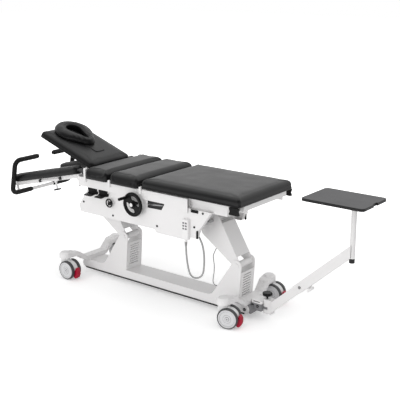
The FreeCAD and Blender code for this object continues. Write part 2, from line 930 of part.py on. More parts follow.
def castor_wheels():
    """Twin wheels: round-shouldered tyres with a shallow dished disc in each outer face."""
    wheels = []
    for side in (-1, 1):
        middle = side * wheel_spacing / 2.0
        start = middle - wheel_width / 2.0
        end = middle + wheel_width / 2.0
        wheel = cross_rod(castor_trail, wheel_radius, start, end, wheel_radius)
        rims = [item for item in wheel.Edges if isinstance(item.Curve, Part.Circle)]
        wheel = wheel.makeFillet(tyre_edge, rims)
        outer = middle + side * wheel_width / 2.0
        dish = cross_rod(castor_trail, wheel_radius, min(outer - side * hub_recess, outer),
                         max(outer - side * hub_recess, outer), hub_recess_radius)
        bore = cross_rod(castor_trail, wheel_radius, start - overlap, end + overlap,
                         axle_radius + axle_gap)
        wheels.append(cut(wheel, [dish, bore]))
    return wheels


def castor_pedal():
    """Brake pedal that turns on the hood's pin at the trailing side."""
    half = pedal_width / 2.0
    low = wheel_radius - pedal_height
    outer = castor_trail + pedal_reach
    plan = plan_profile([(pedal_start, -half, 0), (outer, -half, pedal_corner),
                         (outer, half, pedal_corner), (pedal_start, half, 0)], low, wheel_radius)
    curve = side_profile([(pedal_start, wheel_radius, 0), (pedal_start, low, 0),
                          (outer - pedal_height, low, pedal_corner),
                          (outer, wheel_radius - pedal_height / 2.0, pedal_corner / 2.0),
                          (outer, wheel_radius - pedal_corner, pedal_corner / 2.0),
                          (pedal_start + pedal_height / 2.0, wheel_radius, pedal_corner)],
                         -half - overlap, half + overlap)
    slot_half = pedal_tongue_half_width + air_gap
    slot = box(pedal_start - overlap, pedal_slot_reach, -slot_half, slot_half,
               low - overlap, pedal_slot_top)
    bore = cross_rod(pedal_pin_x, pedal_pin_z, -pedal_pin_half_length - air_gap,
                     pedal_pin_half_length + air_gap, pedal_pin_radius + running_gap)
    return cut(plan.common(curve), [slot, bore])


def castor_places():
    """Name, stem place and swivel angle of each castor."""
    foot = foot_arm_x - castor_stem_offset
    head = head_arm_x - castor_stem_offset
    return [("foot_near", foot, -castor_track, castor_turn_foot_near),
            ("foot_far", foot, castor_track, castor_turn_foot_far),
            ("head_near", head, -castor_track, castor_turn_head_near),
            ("head_far", head, castor_track, castor_turn_head_far)]


def castors():
    nodes = {}
    pieces = [("castor_hood_", [castor_hood()]), ("castor_wheels_", castor_wheels()),
              ("castor_pedal_", [castor_pedal()])]
    for name, x, y, turn in castor_places():
        for prefix, shapes in pieces:
            placed = []
            for shape in shapes:
                moved = turned(shape, (0, 0, 0), Z_AXIS, turn)
                moved.translate(V(x, y, 0))
                placed.append(moved)
            nodes[prefix + name] = placed
    return nodes


# Lift

def lift_arm(pivot_x):
    """Welded arm: two triangular plates, a web on the foot side and a tube at each pivot."""
    low = (pivot_x, lower_pivot_z, arm_eye_radius)
    high = (pivot_x - arm_run, upper_pivot_z, arm_top_radius)
    heel = (high[0] + arm_heel_x, high[1] + arm_heel_z, arm_heel_radius)
    belts = [belt_plate(a, b, -arm_face, -arm_inner)
             for a, b in ((low, high), (high, heel), (heel, low))]
    core = side_profile([(low[0], low[1], 0), (high[0], high[1], 0), (heel[0], heel[1], 0)],
                        -arm_face, -arm_inner)
    start, end = belt_points(low, high, -1)
    length = math.hypot(end[0] - start[0], end[1] - start[1])
    along = ((end[0] - start[0]) / length, (end[1] - start[1]) / length)
    inward = (-along[1], along[0])
    corners = []
    for reach, depth in ((arm_web_low, 0), (arm_web_high, 0), (arm_web_high, arm_web_thickness),
                         (arm_web_low, arm_web_thickness)):
        corners.append((start[0] + along[0] * reach + inward[0] * depth,
                        start[1] + along[1] * reach + inward[1] * depth, 0))
    web = side_profile(corners, -arm_inner, arm_inner)
    tubes = [cross_rod(c[0], c[1], -arm_inner, arm_inner, arm_tube_radius) for c in (low, high)]
    arm = fuse(both_sides(fuse(belts + [core])) + [web] + tubes)
    bores = [cross_rod(c[0], c[1], -arm_face - overlap, arm_face + overlap,
                       pin_radius + running_gap) for c in (low, high)]
    return cut(arm, bores)


def actuator_line():
    """Place of the rod pin, the direction towards the motor and the sideways direction."""
    pin = V(foot_pivot_x - arm_run + arm_heel_x, 0, upper_pivot_z + arm_heel_z)
    lean = math.radians(actuator_slope)
    along = V(-math.cos(lean), 0, math.sin(lean))
    return pin, along, V(along.z, 0, -along.x)


def foot_lift_arm():
    """Lift arm of the foot end, with the actuator's pin and the clip of the earth lead."""
    pin, _, _ = actuator_line()
    bar = cross_rod(pin.x, pin.z, -arm_inner, arm_inner, actuator_pin_radius)
    half = earth_clip_length / 2.0
    clip = box(earth_clip_x - half, earth_clip_x + half, -arm_inner,
               -earth_lead_y + 2 * earth_lead_radius,
               earth_clip_bottom, earth_clip_bottom + earth_clip_height)
    return [fuse([lift_arm(foot_pivot_x), bar, clip])]


def head_lift_arm():
    return [lift_arm(head_pivot_x)]


def lift_actuator_rod():
    """Piston rod of the actuator with the eye that turns on the arm's pin."""
    pin, along, _ = actuator_line()
    half = actuator_eye_width / 2.0
    eye = cross_rod(pin.x, pin.z, -half, half, actuator_eye_radius)
    shaft = Part.makeCylinder(actuator_rod_radius, actuator_rod_length, pin, along)
    bore = cross_rod(pin.x, pin.z, -half - overlap, half + overlap,
                     actuator_pin_radius + running_gap)
    return [eye.fuse(shaft).cut(bore)]


def actuator_rear():
    pin, along, up = actuator_line()
    reach = actuator_tube_start + actuator_tube_length + actuator_motor_length + actuator_rear_reach
    return pin + along * reach + up * actuator_tube_offset


def lift_actuator():
    """Outer tube and motor of the actuator, with a rear eye under the cross member."""
    pin, along, up = actuator_line()
    start = pin + along * actuator_tube_start + up * actuator_tube_offset
    tube = Part.makeCylinder(actuator_tube_radius, actuator_tube_length, start, along)
    hollow = Part.makeCylinder(actuator_tube_radius - actuator_tube_wall,
                               actuator_tube_length - actuator_tube_end_wall, start, along)
    motor_start = start + along * actuator_tube_length
    motor = Part.makeCylinder(actuator_motor_radius, actuator_motor_length, motor_start, along)
    rims = [item for item in motor.Edges if item.Closed]
    motor = motor.makeFillet(actuator_motor_edge, rims)
    rear = actuator_rear()
    half = actuator_eye_width / 2.0
    neck = Part.makeCylinder(actuator_neck_radius, actuator_rear_reach + actuator_motor_edge,
                             rear - along * (actuator_rear_reach + actuator_motor_edge), along)
    eye = cross_rod(rear.x, rear.z, -half, half, actuator_eye_radius)
    bore = cross_rod(rear.x, rear.z, -half - overlap, half + overlap,
                     actuator_pin_radius + running_gap)
    return [cut(fuse([tube.cut(hollow), motor, neck, eye]), [bore])]


# Deck

def hinge_lug(x, z, outer_y):
    """Upright lug beside the rail that reaches up into a gap between two cushions."""
    inner_y = outer_y - ear_thickness
    plate = side_profile([(x - ear_half_width, ear_root, 0), (x + ear_half_width, ear_root, 0),
                          (x + ear_half_width, z, 0), (x - ear_half_width, z, 0)],
                         -outer_y, -inner_y)
    tip = cross_rod(x, z, -outer_y, -inner_y, ear_half_width)
    foot = box(x - ear_half_width, x + ear_half_width, -inner_y, -rail_outer_y,
               ear_root, rail_top - ear_step)
    return fuse([plate, tip, foot])


def side_rails():
    """Box rails under the cushions, with hinge lugs and a gusset at the foot end."""
    rail = box(rail_head_end, rail_foot_end, -rail_outer_y, -rail_inner_y, rail_bottom, rail_top)
    hollow = box(rail_head_end - overlap, rail_foot_end + overlap, -rail_outer_y + rail_wall,
                 -rail_inner_y - rail_wall, rail_bottom + rail_wall, rail_top - rail_wall)
    gusset_z = rail_bottom - gusset_drop
    gusset = side_profile([(rail_foot_end - gusset_run, rail_bottom, 0),
                           (rail_foot_end - gusset_toe, gusset_z, 0),
                           (rail_foot_end, gusset_z, 0),
                           (rail_foot_end, rail_bottom + overlap, 0),
                           (rail_foot_end - gusset_run, rail_bottom + overlap, 0)],
                          -rail_outer_y, -rail_outer_y + rail_wall)
    middle_x = (thoracic_foot_end + lumbar_head_end) / 2.0
    lugs = [hinge_lug(head_hinge_x, head_hinge_z, ear_outer_y),
            hinge_lug(flexion_hinge_x, flexion_hinge_z, ear_outer_y),
            hinge_lug(middle_x, middle_lug_z, ear_outer_y)]
    pins = [cross_rod(x, z, -ear_outer_y, -ear_outer_y + hinge_pin_length, hinge_pin_radius)
            for x, z in ((head_hinge_x, head_hinge_z), (flexion_hinge_x, flexion_hinge_z))]
    return both_sides(fuse([rail.cut(hollow), gusset] + lugs + pins))


def cross_tube(x, bottom, half):
    """Square tube across the deck."""
    top = bottom + cross_member_height
    wall = cross_member_wall
    tube = box(x, x + cross_member_width, -half, half, bottom, top)
    hollow = box(x + wall, x + cross_member_width - wall, -half - overlap, half + overlap,
                 bottom + wall, top - wall)
    return tube.cut(hollow)


def deck_cross_members():
    """Cross tubes, the head end plate with its arm rest lugs, and the actuator's hanger."""
    bottom = rail_top - cross_member_height
    members = [cross_tube(x, bottom, rail_inner_y)
               for x in (head_member_x, middle_member_x, drive_member_x)]
    members.append(cross_tube(rail_foot_end - cross_member_width, low_member_bottom,
                              panel_inner_y))
    lead_lug = rod((lead_lug_x, -lead_inner_y, low_member_bottom - lead_lug_length),
                   (lead_lug_x, -lead_inner_y, low_member_bottom), gland_radius)
    members[-1] = members[-1].fuse(lead_lug)
    rear = actuator_rear()
    inner = actuator_eye_width / 2.0 + air_gap
    cheek = side_profile([(rear.x - hanger_half_width, rear.z - hanger_half_width, hanger_corner),
                          (rear.x + hanger_half_width, rear.z - hanger_half_width, hanger_corner),
                          (rear.x + hanger_half_width, bottom, 0), (drive_member_x, bottom, 0)],
                         -inner - hanger_thickness, -inner)
    bar = box(drive_member_x, rear.x + hanger_half_width, -inner - hanger_thickness,
              inner + hanger_thickness, bottom - hanger_thickness, bottom)
    reach = inner + 2 * hanger_thickness
    pin = cross_rod(rear.x, rear.z, -reach, reach, actuator_pin_radius)
    hanger = fuse(both_sides(cheek) + [bar, pin])
    members[2] = members[2].fuse(hanger)
    return members + [end_plate()]


def end_plate():
    """Plate across the head ends of the rails, with the pinned lugs of the arm rests."""
    face = rail_head_end - end_plate_thickness
    plate = box(face, rail_head_end, -rail_outer_y, rail_outer_y, end_plate_bottom, end_plate_top)
    reach = armrest_tube_radius
    lug = side_profile([(face + overlap, armrest_hinge_z - reach, 0),
                        (face + overlap, armrest_hinge_z + reach, 0),
                        (armrest_hinge_x, armrest_hinge_z + reach, 0),
                        (armrest_hinge_x, armrest_hinge_z - reach, 0)],
                       -armrest_lug_outer_y, -armrest_lug_inner_y)
    tip = cross_rod(armrest_hinge_x, armrest_hinge_z, -armrest_lug_outer_y, -armrest_lug_inner_y,
                    reach)
    pin = cross_rod(armrest_hinge_x, armrest_hinge_z, -armrest_lug_outer_y, -armrest_pin_inner_y,
                    armrest_pin_radius)
    return fuse([plate] + both_sides(fuse([lug, tip, pin])))


def deck_pivot_shafts():
    """Shafts across the deck on which the upper ends of the lift arms turn."""
    return [cross_rod(x - arm_run, upper_pivot_z, -panel_inner_y, panel_inner_y, pin_radius)
            for x in (foot_pivot_x, head_pivot_x)]


def panel_corners():
    """Outline of a side panel: stepped lower edge, slanted ends, straight top."""
    top = rail_bottom
    return [(-439.0, top, 0), (-532.0, 530.0, panel_corner), (-521.0, 484.0, panel_corner),
            (105.0, 484.0, panel_corner), (120.0, 465.0, panel_corner),
            (327.0, 465.0, panel_corner), (345.0, 487.0, panel_corner),
            (423.0, 487.0, panel_corner), (440.0, 538.0, panel_corner), (528.0, top, 0)]


def panel_window():
    """Slanted window through which the drive is reached."""
    return side_profile([(46.0, 654.0, 4.0), (188.0, 654.0, 4.0), (162.0, 612.0, 6.0),
                         (49.0, 609.0, 6.0)], -panel_face_y - overlap, -panel_inner_y + overlap)


def side_panel():
    """Folded sheet panel whose lower and end edges are returned inwards."""
    depth_y = panel_inner_y - panel_flange
    body = side_profile(panel_corners(), -panel_face_y, -depth_y)
    face = side_profile(panel_corners(), -depth_y - overlap, -depth_y)
    rim = face.Faces[0]
    for item in face.Faces:
        if item.Area > rim.Area:
            rim = item
    inset = rim.makeOffset2D(-panel_sheet)
    inset.translate(V(0, -panel_inner_y - inset.BoundBox.YMin, 0))
    hollow = inset.extrude(V(0, panel_flange + overlap, 0))
    top = inset.copy()
    top.translate(V(0, 0, 2 * panel_sheet))
    open_top = top.extrude(V(0, panel_flange + overlap, 0))
    return cut(body, [hollow, open_top])


def side_panel_near():
    """Near side panel, with the reducer housing, the ring knob's boss and the lever ears."""
    panel = side_panel().cut(panel_window())
    back = -panel_inner_y + gearbox_depth
    housing = cross_rod(handwheel_x, handwheel_z, -panel_inner_y, back, gearbox_radius)
    bore = cross_rod(handwheel_x, handwheel_z, -panel_face_y - overlap, back + overlap,
                     wheel_shaft_radius + running_gap)
    boss = cross_rod(ring_knob_x, ring_knob_z, -panel_inner_y,
                     -panel_inner_y + ring_knob_boss_depth, ring_knob_boss_radius)
    boss_bore = cross_rod(ring_knob_x, ring_knob_z, -panel_face_y - overlap,
                          -panel_inner_y + ring_knob_boss_depth - rail_wall,
                          ring_knob_shaft_radius + running_gap)
    ears = []
    for start, end in ((lever_head_start, lever_head_end), (lever_arm_start, lever_arm_end)):
        for ear_start in (start - side_gap - lever_ear_thickness, end + side_gap):
            ears.append(box(ear_start, ear_start + lever_ear_thickness, -lever_ear_outer_y,
                            -panel_face_y, lever_ear_bottom, rail_bottom))
        ears.append(rod((start - side_gap - lever_ear_thickness, -lever_pin_y, lever_pin_z),
                        (end + side_gap + lever_ear_thickness, -lever_pin_y, lever_pin_z),
                        lever_pin_radius))
    return [cut(fuse([panel, housing, boss] + ears), [bore, boss_bore])]


def side_panel_far():
    return [mirrored(side_panel())]


def panel_plugs_and_trim():
    """Pivot plugs, slotted blocks and bumper bars on the outside of both panels."""
    upper_foot_x = foot_pivot_x - arm_run
    upper_head_x = head_pivot_x - arm_run
    spots = [(upper_head_x, upper_pivot_z), (-233.0, 508.0), (127.0, 508.0),
             (upper_foot_x, upper_pivot_z), (471.0, 647.0)]
    near = [cross_rod(x, z, -panel_face_y - plug_height, -panel_face_y, plug_radius)
            for x, z in spots]
    half = slot_block_length / 2.0
    block = box(slot_block_x - half, slot_block_x + half, -panel_face_y - slot_block_depth,
                -panel_face_y, slot_block_bottom, slot_block_bottom + slot_block_height)
    middle = slot_block_bottom + slot_block_height / 2.0
    slot = box(slot_block_x - slot_length / 2.0, slot_block_x + slot_length / 2.0,
               -panel_face_y - slot_block_depth - overlap, -panel_face_y - slot_block_depth / 2.0,
               middle - slot_height / 2.0, middle + slot_height / 2.0)
    bumper = side_profile([(bumper_x - bumper_width / 2.0, bumper_bottom, bumper_edge),
                           (bumper_x + bumper_width / 2.0, bumper_bottom, bumper_edge),
                           (bumper_x + bumper_width / 2.0, bumper_bottom + bumper_height,
                            bumper_edge),
                           (bumper_x - bumper_width / 2.0, bumper_bottom + bumper_height,
                            bumper_edge)],
                          -panel_face_y - slot_block_depth, -panel_face_y)
    near += [block.cut(slot), bumper]
    return near + [mirrored(shape) for shape in near]


def cushion(head_end, foot_end, bottom):
    """Flat upholstered cushion on its own board."""
    return [slab(rectangle(head_end, foot_end, cushion_half_width, cushion_corner),
                 bottom, deck_top, cushion_edge, cushion_under_edge)]


def cushion_thoracic():
    return cushion(thoracic_head_end, thoracic_foot_end, rail_top)


def cushion_lumbar():
    return cushion(lumbar_head_end, lumbar_foot_end, rail_top)


def cushion_pelvic():
    return cushion(pelvic_head_end, pelvic_foot_end, pelvic_bottom)


# Foot section

def tooth_space(centre_x, centre_z, wheel_teeth, angle, y0, y1):
    """Wedge-shaped space between two teeth of a spur wheel."""
    pitch_radius = gear_module * wheel_teeth / 2.0
    outer = pitch_radius + gear_addendum + overlap
    inner = pitch_radius - gear_dedendum
    half_pitch = math.pi * gear_module / 4.0 + gear_backlash / 2.0
    slope = math.tan(math.radians(pressure_angle))
    corners = []
    for radius in (inner, outer):
        half = half_pitch + (radius - pitch_radius) * slope
        corners.append((radius, half))
    outline = [(corners[0][0], -corners[0][1], 0), (corners[1][0], -corners[1][1], 0),
               (corners[1][0], corners[1][1], 0), (corners[0][0], corners[0][1], 0)]
    space = side_profile(outline, y0, y1)
    space.rotate(V(0, 0, 0), Y_AXIS, -angle)
    space.translate(V(centre_x, 0, centre_z))
    return space


def mesh_angle():
    """Direction from the flexion hinge to the pinion, in degrees."""
    return math.degrees(math.atan2(handwheel_z - flexion_hinge_z, handwheel_x - flexion_hinge_x))


def gear_sector():
    """Toothed sector below the flexion hinge, webbed to the near inner rail."""
    pitch_radius = gear_module * sector_wheel_teeth / 2.0
    outer = pitch_radius + gear_addendum
    disc = cross_rod(flexion_hinge_x, flexion_hinge_z, -gear_outer_y, -gear_inner_y, outer)
    hollow = cross_rod(flexion_hinge_x, flexion_hinge_z, -gear_outer_y, -gear_inner_y,
                       pitch_radius - sector_rim_depth)
    reach = 2 * outer
    corners = [(flexion_hinge_x, flexion_hinge_z, 0)]
    for degrees in (sector_start_angle, sector_end_angle):
        angle = math.radians(degrees)
        corners.append((flexion_hinge_x + reach * math.cos(angle),
                        flexion_hinge_z + reach * math.sin(angle), 0))
    wedge = side_profile(corners, -gear_outer_y, -gear_inner_y)
    rim = disc.cut(hollow).common(wedge)
    step = 360.0 / sector_wheel_teeth
    start = mesh_angle() % 360.0
    low = int((sector_start_angle - start) / step) - 1
    high = int((sector_end_angle - start) / step) + 2
    spaces = [tooth_space(flexion_hinge_x, flexion_hinge_z, sector_wheel_teeth,
                          start + (index + 0.5) * step, -gear_outer_y - overlap,
                          -gear_inner_y + overlap) for index in range(low, high)]
    return cut(rim, spaces)


def sector_web():
    """Web that ties the toothed rim to the inner rail."""
    rim_radius = gear_module * sector_wheel_teeth / 2.0 - sector_rim_depth + overlap
    points = []
    for degrees in (sector_start_angle + 2.0, sector_end_angle - 2.0):
        angle = math.radians(degrees)
        points.append((flexion_hinge_x + rim_radius * math.cos(angle),
                       flexion_hinge_z + rim_radius * math.sin(angle), 0))
    inner_x = inner_rail_head_end + cheek_reach
    top = rail_top - cheek_thickness
    return side_profile([points[0], points[1], (inner_rail_head_end, inner_rail_bottom, 0),
                         (inner_x, inner_rail_bottom, 0),
                         (inner_x, inner_rail_top - inner_rail_wall, 0),
                         (flexion_hinge_x + ear_half_width, top, 0),
                         (flexion_hinge_x - ear_half_width, top, 0)],
                        -gear_outer_y, -gear_inner_y)


def inner_rail():
    """Rail of the foot section with its hinge cheek, hinge tube and end cap."""
    rail = box(inner_rail_head_end, inner_rail_foot_end, -inner_rail_outer_y, -gear_outer_y,
               inner_rail_bottom, inner_rail_top)
    wall = inner_rail_wall
    hollow = box(inner_rail_head_end + wall, inner_rail_foot_end - inner_cap_length,
                 -inner_rail_outer_y + wall, -gear_outer_y - wall,
                 inner_rail_bottom + wall, inner_rail_top - wall)
    cheek_x = inner_rail_head_end + cheek_reach
    cheek = side_profile([(flexion_hinge_x - ear_half_width, flexion_hinge_z, 0),
                          (flexion_hinge_x - ear_half_width, inner_rail_top, 0),
                          (inner_rail_head_end, inner_rail_bottom, 0),
                          (cheek_x, inner_rail_bottom, 0), (cheek_x, inner_rail_top, 0),
                          (flexion_hinge_x + ear_half_width, rail_top - cheek_thickness, 0),
                          (flexion_hinge_x + ear_half_width, flexion_hinge_z, 0)],
                         -inner_rail_outer_y, -inner_rail_outer_y + cheek_thickness)
    tube = cross_rod(flexion_hinge_x, flexion_hinge_z, -moving_ear_outer_y,
                     -inner_rail_outer_y + cheek_thickness, ear_half_width)
    bore = cross_rod(flexion_hinge_x, flexion_hinge_z, -moving_ear_outer_y - overlap,
                     -ear_outer_y + hinge_pin_length + side_gap, hinge_pin_radius + running_gap)
    return cut(fuse([rail.cut(hollow), cheek, tube]), [bore])


def flexion_frame():
    """Foot section frame: two rails, two cross tubes and the gear sector."""
    tubes = [cross_rod(x, flexion_tube_z, -gear_outer_y, gear_outer_y, flexion_tube_radius)
             for x in (flexion_tube_x, flexion_tube_foot_x)]
    return [fuse(both_sides(inner_rail()) + tubes + [gear_sector(), sector_web()])]


def flexion_pinion():
    """Small toothed wheel on the output shaft of the reducer."""
    pitch_radius = gear_module * pinion_teeth / 2.0
    wheel = cross_rod(handwheel_x, handwheel_z, -gear_outer_y - side_gap, -gear_inner_y,
                      pitch_radius + gear_addendum)
    step = 360.0 / pinion_teeth
    start = mesh_angle() + 180.0
    spaces = [tooth_space(handwheel_x, handwheel_z, pinion_teeth, start + index * step,
                          -gear_outer_y - 2 * side_gap, -gear_inner_y + overlap)
              for index in range(pinion_teeth)]
    shaft = cross_rod(handwheel_x, handwheel_z, -pinion_shaft_end_y, -gear_inner_y,
                      wheel_shaft_radius)
    return [fuse([cut(wheel, spaces), shaft])]


def carriage_frame():
    """Sliding carriage of the foot cushion: two runners with guide lips, and cross bars."""
    bottom = inner_rail_top + air_gap
    runner = box(carriage_head_end, carriage_foot_end, -carriage_rail_outer_y,
                 -carriage_rail_inner_y, bottom, pelvic_bottom)
    lip_outer = -gear_outer_y + air_gap
    lip = box(carriage_lip_start, carriage_foot_end, lip_outer, lip_outer + carriage_lip_thickness,
              carriage_lip_bottom, bottom + overlap)
    run = (carriage_foot_end - carriage_head_end - carriage_bar_width) / (carriage_bar_count - 1)
    bars = []
    for index in range(carriage_bar_count):
        x = carriage_head_end + index * run
        bars.append(box(x, x + carriage_bar_width, -carriage_rail_inner_y, carriage_rail_inner_y,
                        bottom, pelvic_bottom))
    return [fuse(both_sides(runner.fuse(lip)) + bars)]


def strap_cleats():
    """Flared blocks under the edges of the foot cushion that hold a strap."""
    end = cleat_start + cleat_length
    middle = (cleat_bottom + pelvic_bottom) / 2.0
    block = side_profile([(cleat_start, cleat_bottom, cleat_corner),
                          (end, cleat_bottom, cleat_corner),
                          (end - cleat_waist, middle, 0), (end, pelvic_bottom, 0),
                          (cleat_start, pelvic_bottom, 0), (cleat_start + cleat_waist, middle, 0)],
                         -cleat_outer_y, -cleat_inner_y)
    return both_sides(block)


# Head section, modelled flat from its hinge line towards -X and then tilted

def on_head_slope(shape):
    shape.rotate(V(0, 0, 0), Y_AXIS, head_slope)
    shape.translate(V(head_hinge_x, 0, head_hinge_z))
    return shape


def head_board():
    """Board under the head cushion with its hinge ears, cross plate and stiffening ribs."""
    high = head_cushion_rise - head_cushion_thickness
    low = high - head_board_thickness
    board = box(-head_board_end, -head_cross_start, -head_board_half_width, head_board_half_width,
                low, high)
    cross = box(-head_cross_end, -head_cross_start, -moving_ear_outer_y, moving_ear_outer_y,
                low, high)
    rib = box(-head_rib_start - head_rib_length, -head_rib_start, -head_rib_y,
              -head_rib_y + head_rib_width, low - head_rib_height, low)
    inner_y = moving_ear_outer_y - ear_thickness
    leg = side_profile([(ear_half_width, 0, 0), (ear_half_width, low, 0), (-head_cross_end, low, 0),
                        (-head_cross_end, high, 0), (-ear_half_width, high, 0),
                        (-ear_half_width, 0, 0)], -moving_ear_outer_y, -inner_y)
    tip = cross_rod(0, 0, -moving_ear_outer_y, -inner_y, ear_half_width)
    bore = cross_rod(0, 0, -moving_ear_outer_y - overlap, -inner_y + overlap,
                     hinge_pin_radius + running_gap)
    ear = cut(fuse([leg, tip]), [bore])
    return [on_head_slope(fuse([board, cross] + both_sides(ear) + both_sides(rib)))]


def cushion_head():
    """Head cushion, cut off short of the hinge line."""
    start = -head_cushion_gap
    end = -head_cushion_gap - head_cushion_length
    corners = [(start, -head_width_hinge, head_corner), (start, head_width_hinge, head_corner),
               (end, head_width_end, head_corner), (end, -head_width_end, head_corner)]
    body = slab(corners, head_cushion_rise - head_cushion_thickness, head_cushion_rise,
                cushion_edge, cushion_under_edge)
    return [on_head_slope(body)]


def belt(one, other, low, high):
    """Two upright discs and the strip between their common tangents, as loose solids."""
    left = belt_points(one, other, 1)
    right = belt_points(one, other, -1)
    strip = plan_profile([(left[0][0], left[0][1], 0), (left[1][0], left[1][1], 0),
                          (right[1][0], right[1][1], 0), (right[0][0], right[0][1], 0)], low, high)
    return [strip] + [rod((c[0], 0, low), (c[0], 0, high), c[2]) for c in (one, other)]


def pillow_hole():
    """Teardrop hole that narrows towards the foot end."""
    wide = (-pillow_hole_far, 0, pillow_hole_radius)
    narrow = (-pillow_hole_near, 0, pillow_throat_radius)
    return fuse(belt(wide, narrow, head_cushion_rise - overlap,
                     head_cushion_rise + pillow_height + overlap))


def face_pillow():
    """Horseshoe face pillow whose two ends meet at the foot side, and its fixing tab."""
    low = head_cushion_rise
    head = (-pillow_head_centre, 0, pillow_head_radius)
    foot = (-pillow_foot_centre, 0, pillow_foot_radius)
    body = fuse(belt(head, foot, low, low + pillow_height)).removeSplitter()
    rims = [item for item in body.Edges if abs(item.BoundBox.ZMin - low - pillow_height) < air_gap]
    body = body.makeFillet(pillow_edge, rims)
    ring = body.cut(pillow_hole())
    tab = slab(rectangle(-pillow_foot_centre, -tab_start, tab_half_width, tab_corner / 2.0),
               head_cushion_rise, head_cushion_rise + tab_height, tab_height / 2.0, side_gap)
    return [on_head_slope(ring.fuse(tab).removeSplitter())]


# Arm rests, modelled level from their hinge line towards -X and then tilted down

def on_arm_slope(shape):
    shape.rotate(V(0, 0, 0), Y_AXIS, -armrest_slope)
    shape.translate(V(armrest_hinge_x, 0, armrest_hinge_z))
    return shape


def guide_rail():
    """Hollow guide under a pad, with a slot, a clamp boss and a pair of stop blocks."""
    inner_y = pad_centre_y - guide_width / 2.0
    outer_y = pad_centre_y + guide_width / 2.0
    top = guide_bottom + guide_height
    wall = guide_wall
    rail = box(-guide_end, 0, -outer_y, -inner_y, guide_bottom, top)
    hollow = box(-guide_end - overlap, -slide_bar_start + 2 * guide_width, -outer_y + wall,
                 -inner_y - wall, guide_bottom + wall, top - wall)
    middle = guide_bottom + guide_height / 2.0
    slot = box(-guide_slot_start - guide_slot_length, -guide_slot_start, -outer_y - overlap,
               -outer_y + wall + overlap, middle - guide_slot_height / 2.0,
               middle + guide_slot_height / 2.0)
    boss = rod((-clamp_knob_along, -clamp_knob_y, guide_bottom - clamp_boss_height),
               (-clamp_knob_along, -clamp_knob_y, guide_bottom + overlap), clamp_boss_radius)
    boss_bore = rod((-clamp_knob_along, -clamp_knob_y, guide_bottom - clamp_boss_height - overlap),
                    (-clamp_knob_along, -clamp_knob_y, guide_bottom - clamp_boss_roof),
                    clamp_stem_radius + running_gap)
    blocks = [box(-x - stop_block_length, -x, -outer_y - stop_block_depth, -outer_y,
                  middle - stop_block_height / 2.0, middle + stop_block_height / 2.0)
              for x in (stop_block_near, stop_block_far)]
    rod_y = -outer_y - stop_block_depth / 2.0
    bar = rod((-stop_block_near - overlap, rod_y, middle), (-stop_block_far - overlap, rod_y, middle),
              stop_rod_radius)
    return cut(fuse([rail, boss, bar] + blocks), [hollow, slot, boss_bore])


def armrest_frame():
    """Two guide rails tied by the hinge tube and a cross tube."""
    outer_y = pad_centre_y + guide_width / 2.0
    inner_y = pad_centre_y - guide_width / 2.0
    tube = cross_rod(0, 0, -outer_y, outer_y, armrest_tube_radius)
    bore = cross_rod(0, 0, -outer_y - overlap, -armrest_pin_inner_y + side_gap,
                     armrest_pin_radius + running_gap)
    middle = guide_bottom + guide_height / 2.0
    cross = cross_rod(-armrest_cross_along, middle, -inner_y, inner_y, armrest_cross_radius)
    whole = fuse(both_sides(guide_rail()) + [tube, cross])
    return [on_arm_slope(cut(whole, both_sides(bore)))]


def arm_pads():
    """Long soft pads on the guide rails."""
    low = guide_bottom + guide_height
    half = pad_width / 2.0
    corners = [(-pad_length, -pad_centre_y - half, pad_corner), (0, -pad_centre_y - half, pad_corner),
               (0, -pad_centre_y + half, pad_corner), (-pad_length, -pad_centre_y + half, pad_corner)]
    pad = slab(corners, low, low + pad_thickness, pad_edge, pad_under_edge)
    return both_sides(on_arm_slope(pad))


def grip_route(inner_lower_y):
    """Centre line of one side of the handlebar, from its inner upper end."""
    return [(grip_upper_x, -grip_upper_inner_y, grip_upper_z), (grip_upper_x, -grip_outer_y, grip_upper_z),
            (grip_lower_x, -grip_outer_y, grip_lower_z), (grip_lower_x, -inner_lower_y, grip_lower_z)]


def handlebar():
    """Bent tube of the handlebar with its straps and the bars that slide in the guides."""
    near = grip_route(0)[:-1]
    far = [(x, -y, z) for x, y, z in reversed(near)]
    tube, _ = pipe(near + far, [grip_bend_radius] * 4, grip_tube_radius)
    wall = guide_wall + slide_gap
    bar = box(-slide_bar_end, -slide_bar_start, -pad_centre_y - guide_width / 2.0 + wall,
              -pad_centre_y + guide_width / 2.0 - wall, guide_bottom + wall,
              guide_bottom + guide_height - wall)
    slider = on_arm_slope(fuse([bar, strap(0)]))
    return [fuse([tube] + both_sides(slider))]


def strap(margin):
    """Flat strap between a slide bar and the lower tube, or a cutter with a margin around it."""
    return box(-strap_end - margin, -strap_start + margin, -pad_centre_y - strap_half_width - margin,
               -pad_centre_y + strap_half_width + margin, strap_bottom - margin, strap_top + margin)


def hand_grips():
    """Foam sleeves over both sides of the handlebar."""
    route = grip_route(grip_lower_inner_y)
    bends = [grip_bend_radius] * 2
    foam, _ = pipe(route, bends, grip_foam_radius)
    core, _ = pipe(route, bends, grip_tube_radius)
    sleeve = cut(foam, [core, on_arm_slope(strap(air_gap))])
    return [solid for side in both_sides(sleeve) for solid in side.Solids]


def armrest_knob():
    """Clamp screw under a guide rail: stem and round hand disc."""
    top = guide_bottom - clamp_boss_roof - air_gap
    foot = top - clamp_stem_length - clamp_disc_height
    stem = rod((-clamp_knob_along, -clamp_knob_y, foot), (-clamp_knob_along, -clamp_knob_y, top),
               clamp_stem_radius)
    disc = rod((-clamp_knob_along, -clamp_knob_y, foot),
               (-clamp_knob_along, -clamp_knob_y, foot + clamp_disc_height), clamp_disc_radius)
    rims = [item for item in disc.Edges if item.Closed]
    return on_arm_slope(fuse([disc.makeFillet(rail_wall, rims), stem]))


def armrest_knob_near():
    return [armrest_knob()]


def armrest_knob_far():
    return [mirrored(armrest_knob())]


# Controls on the near side panel

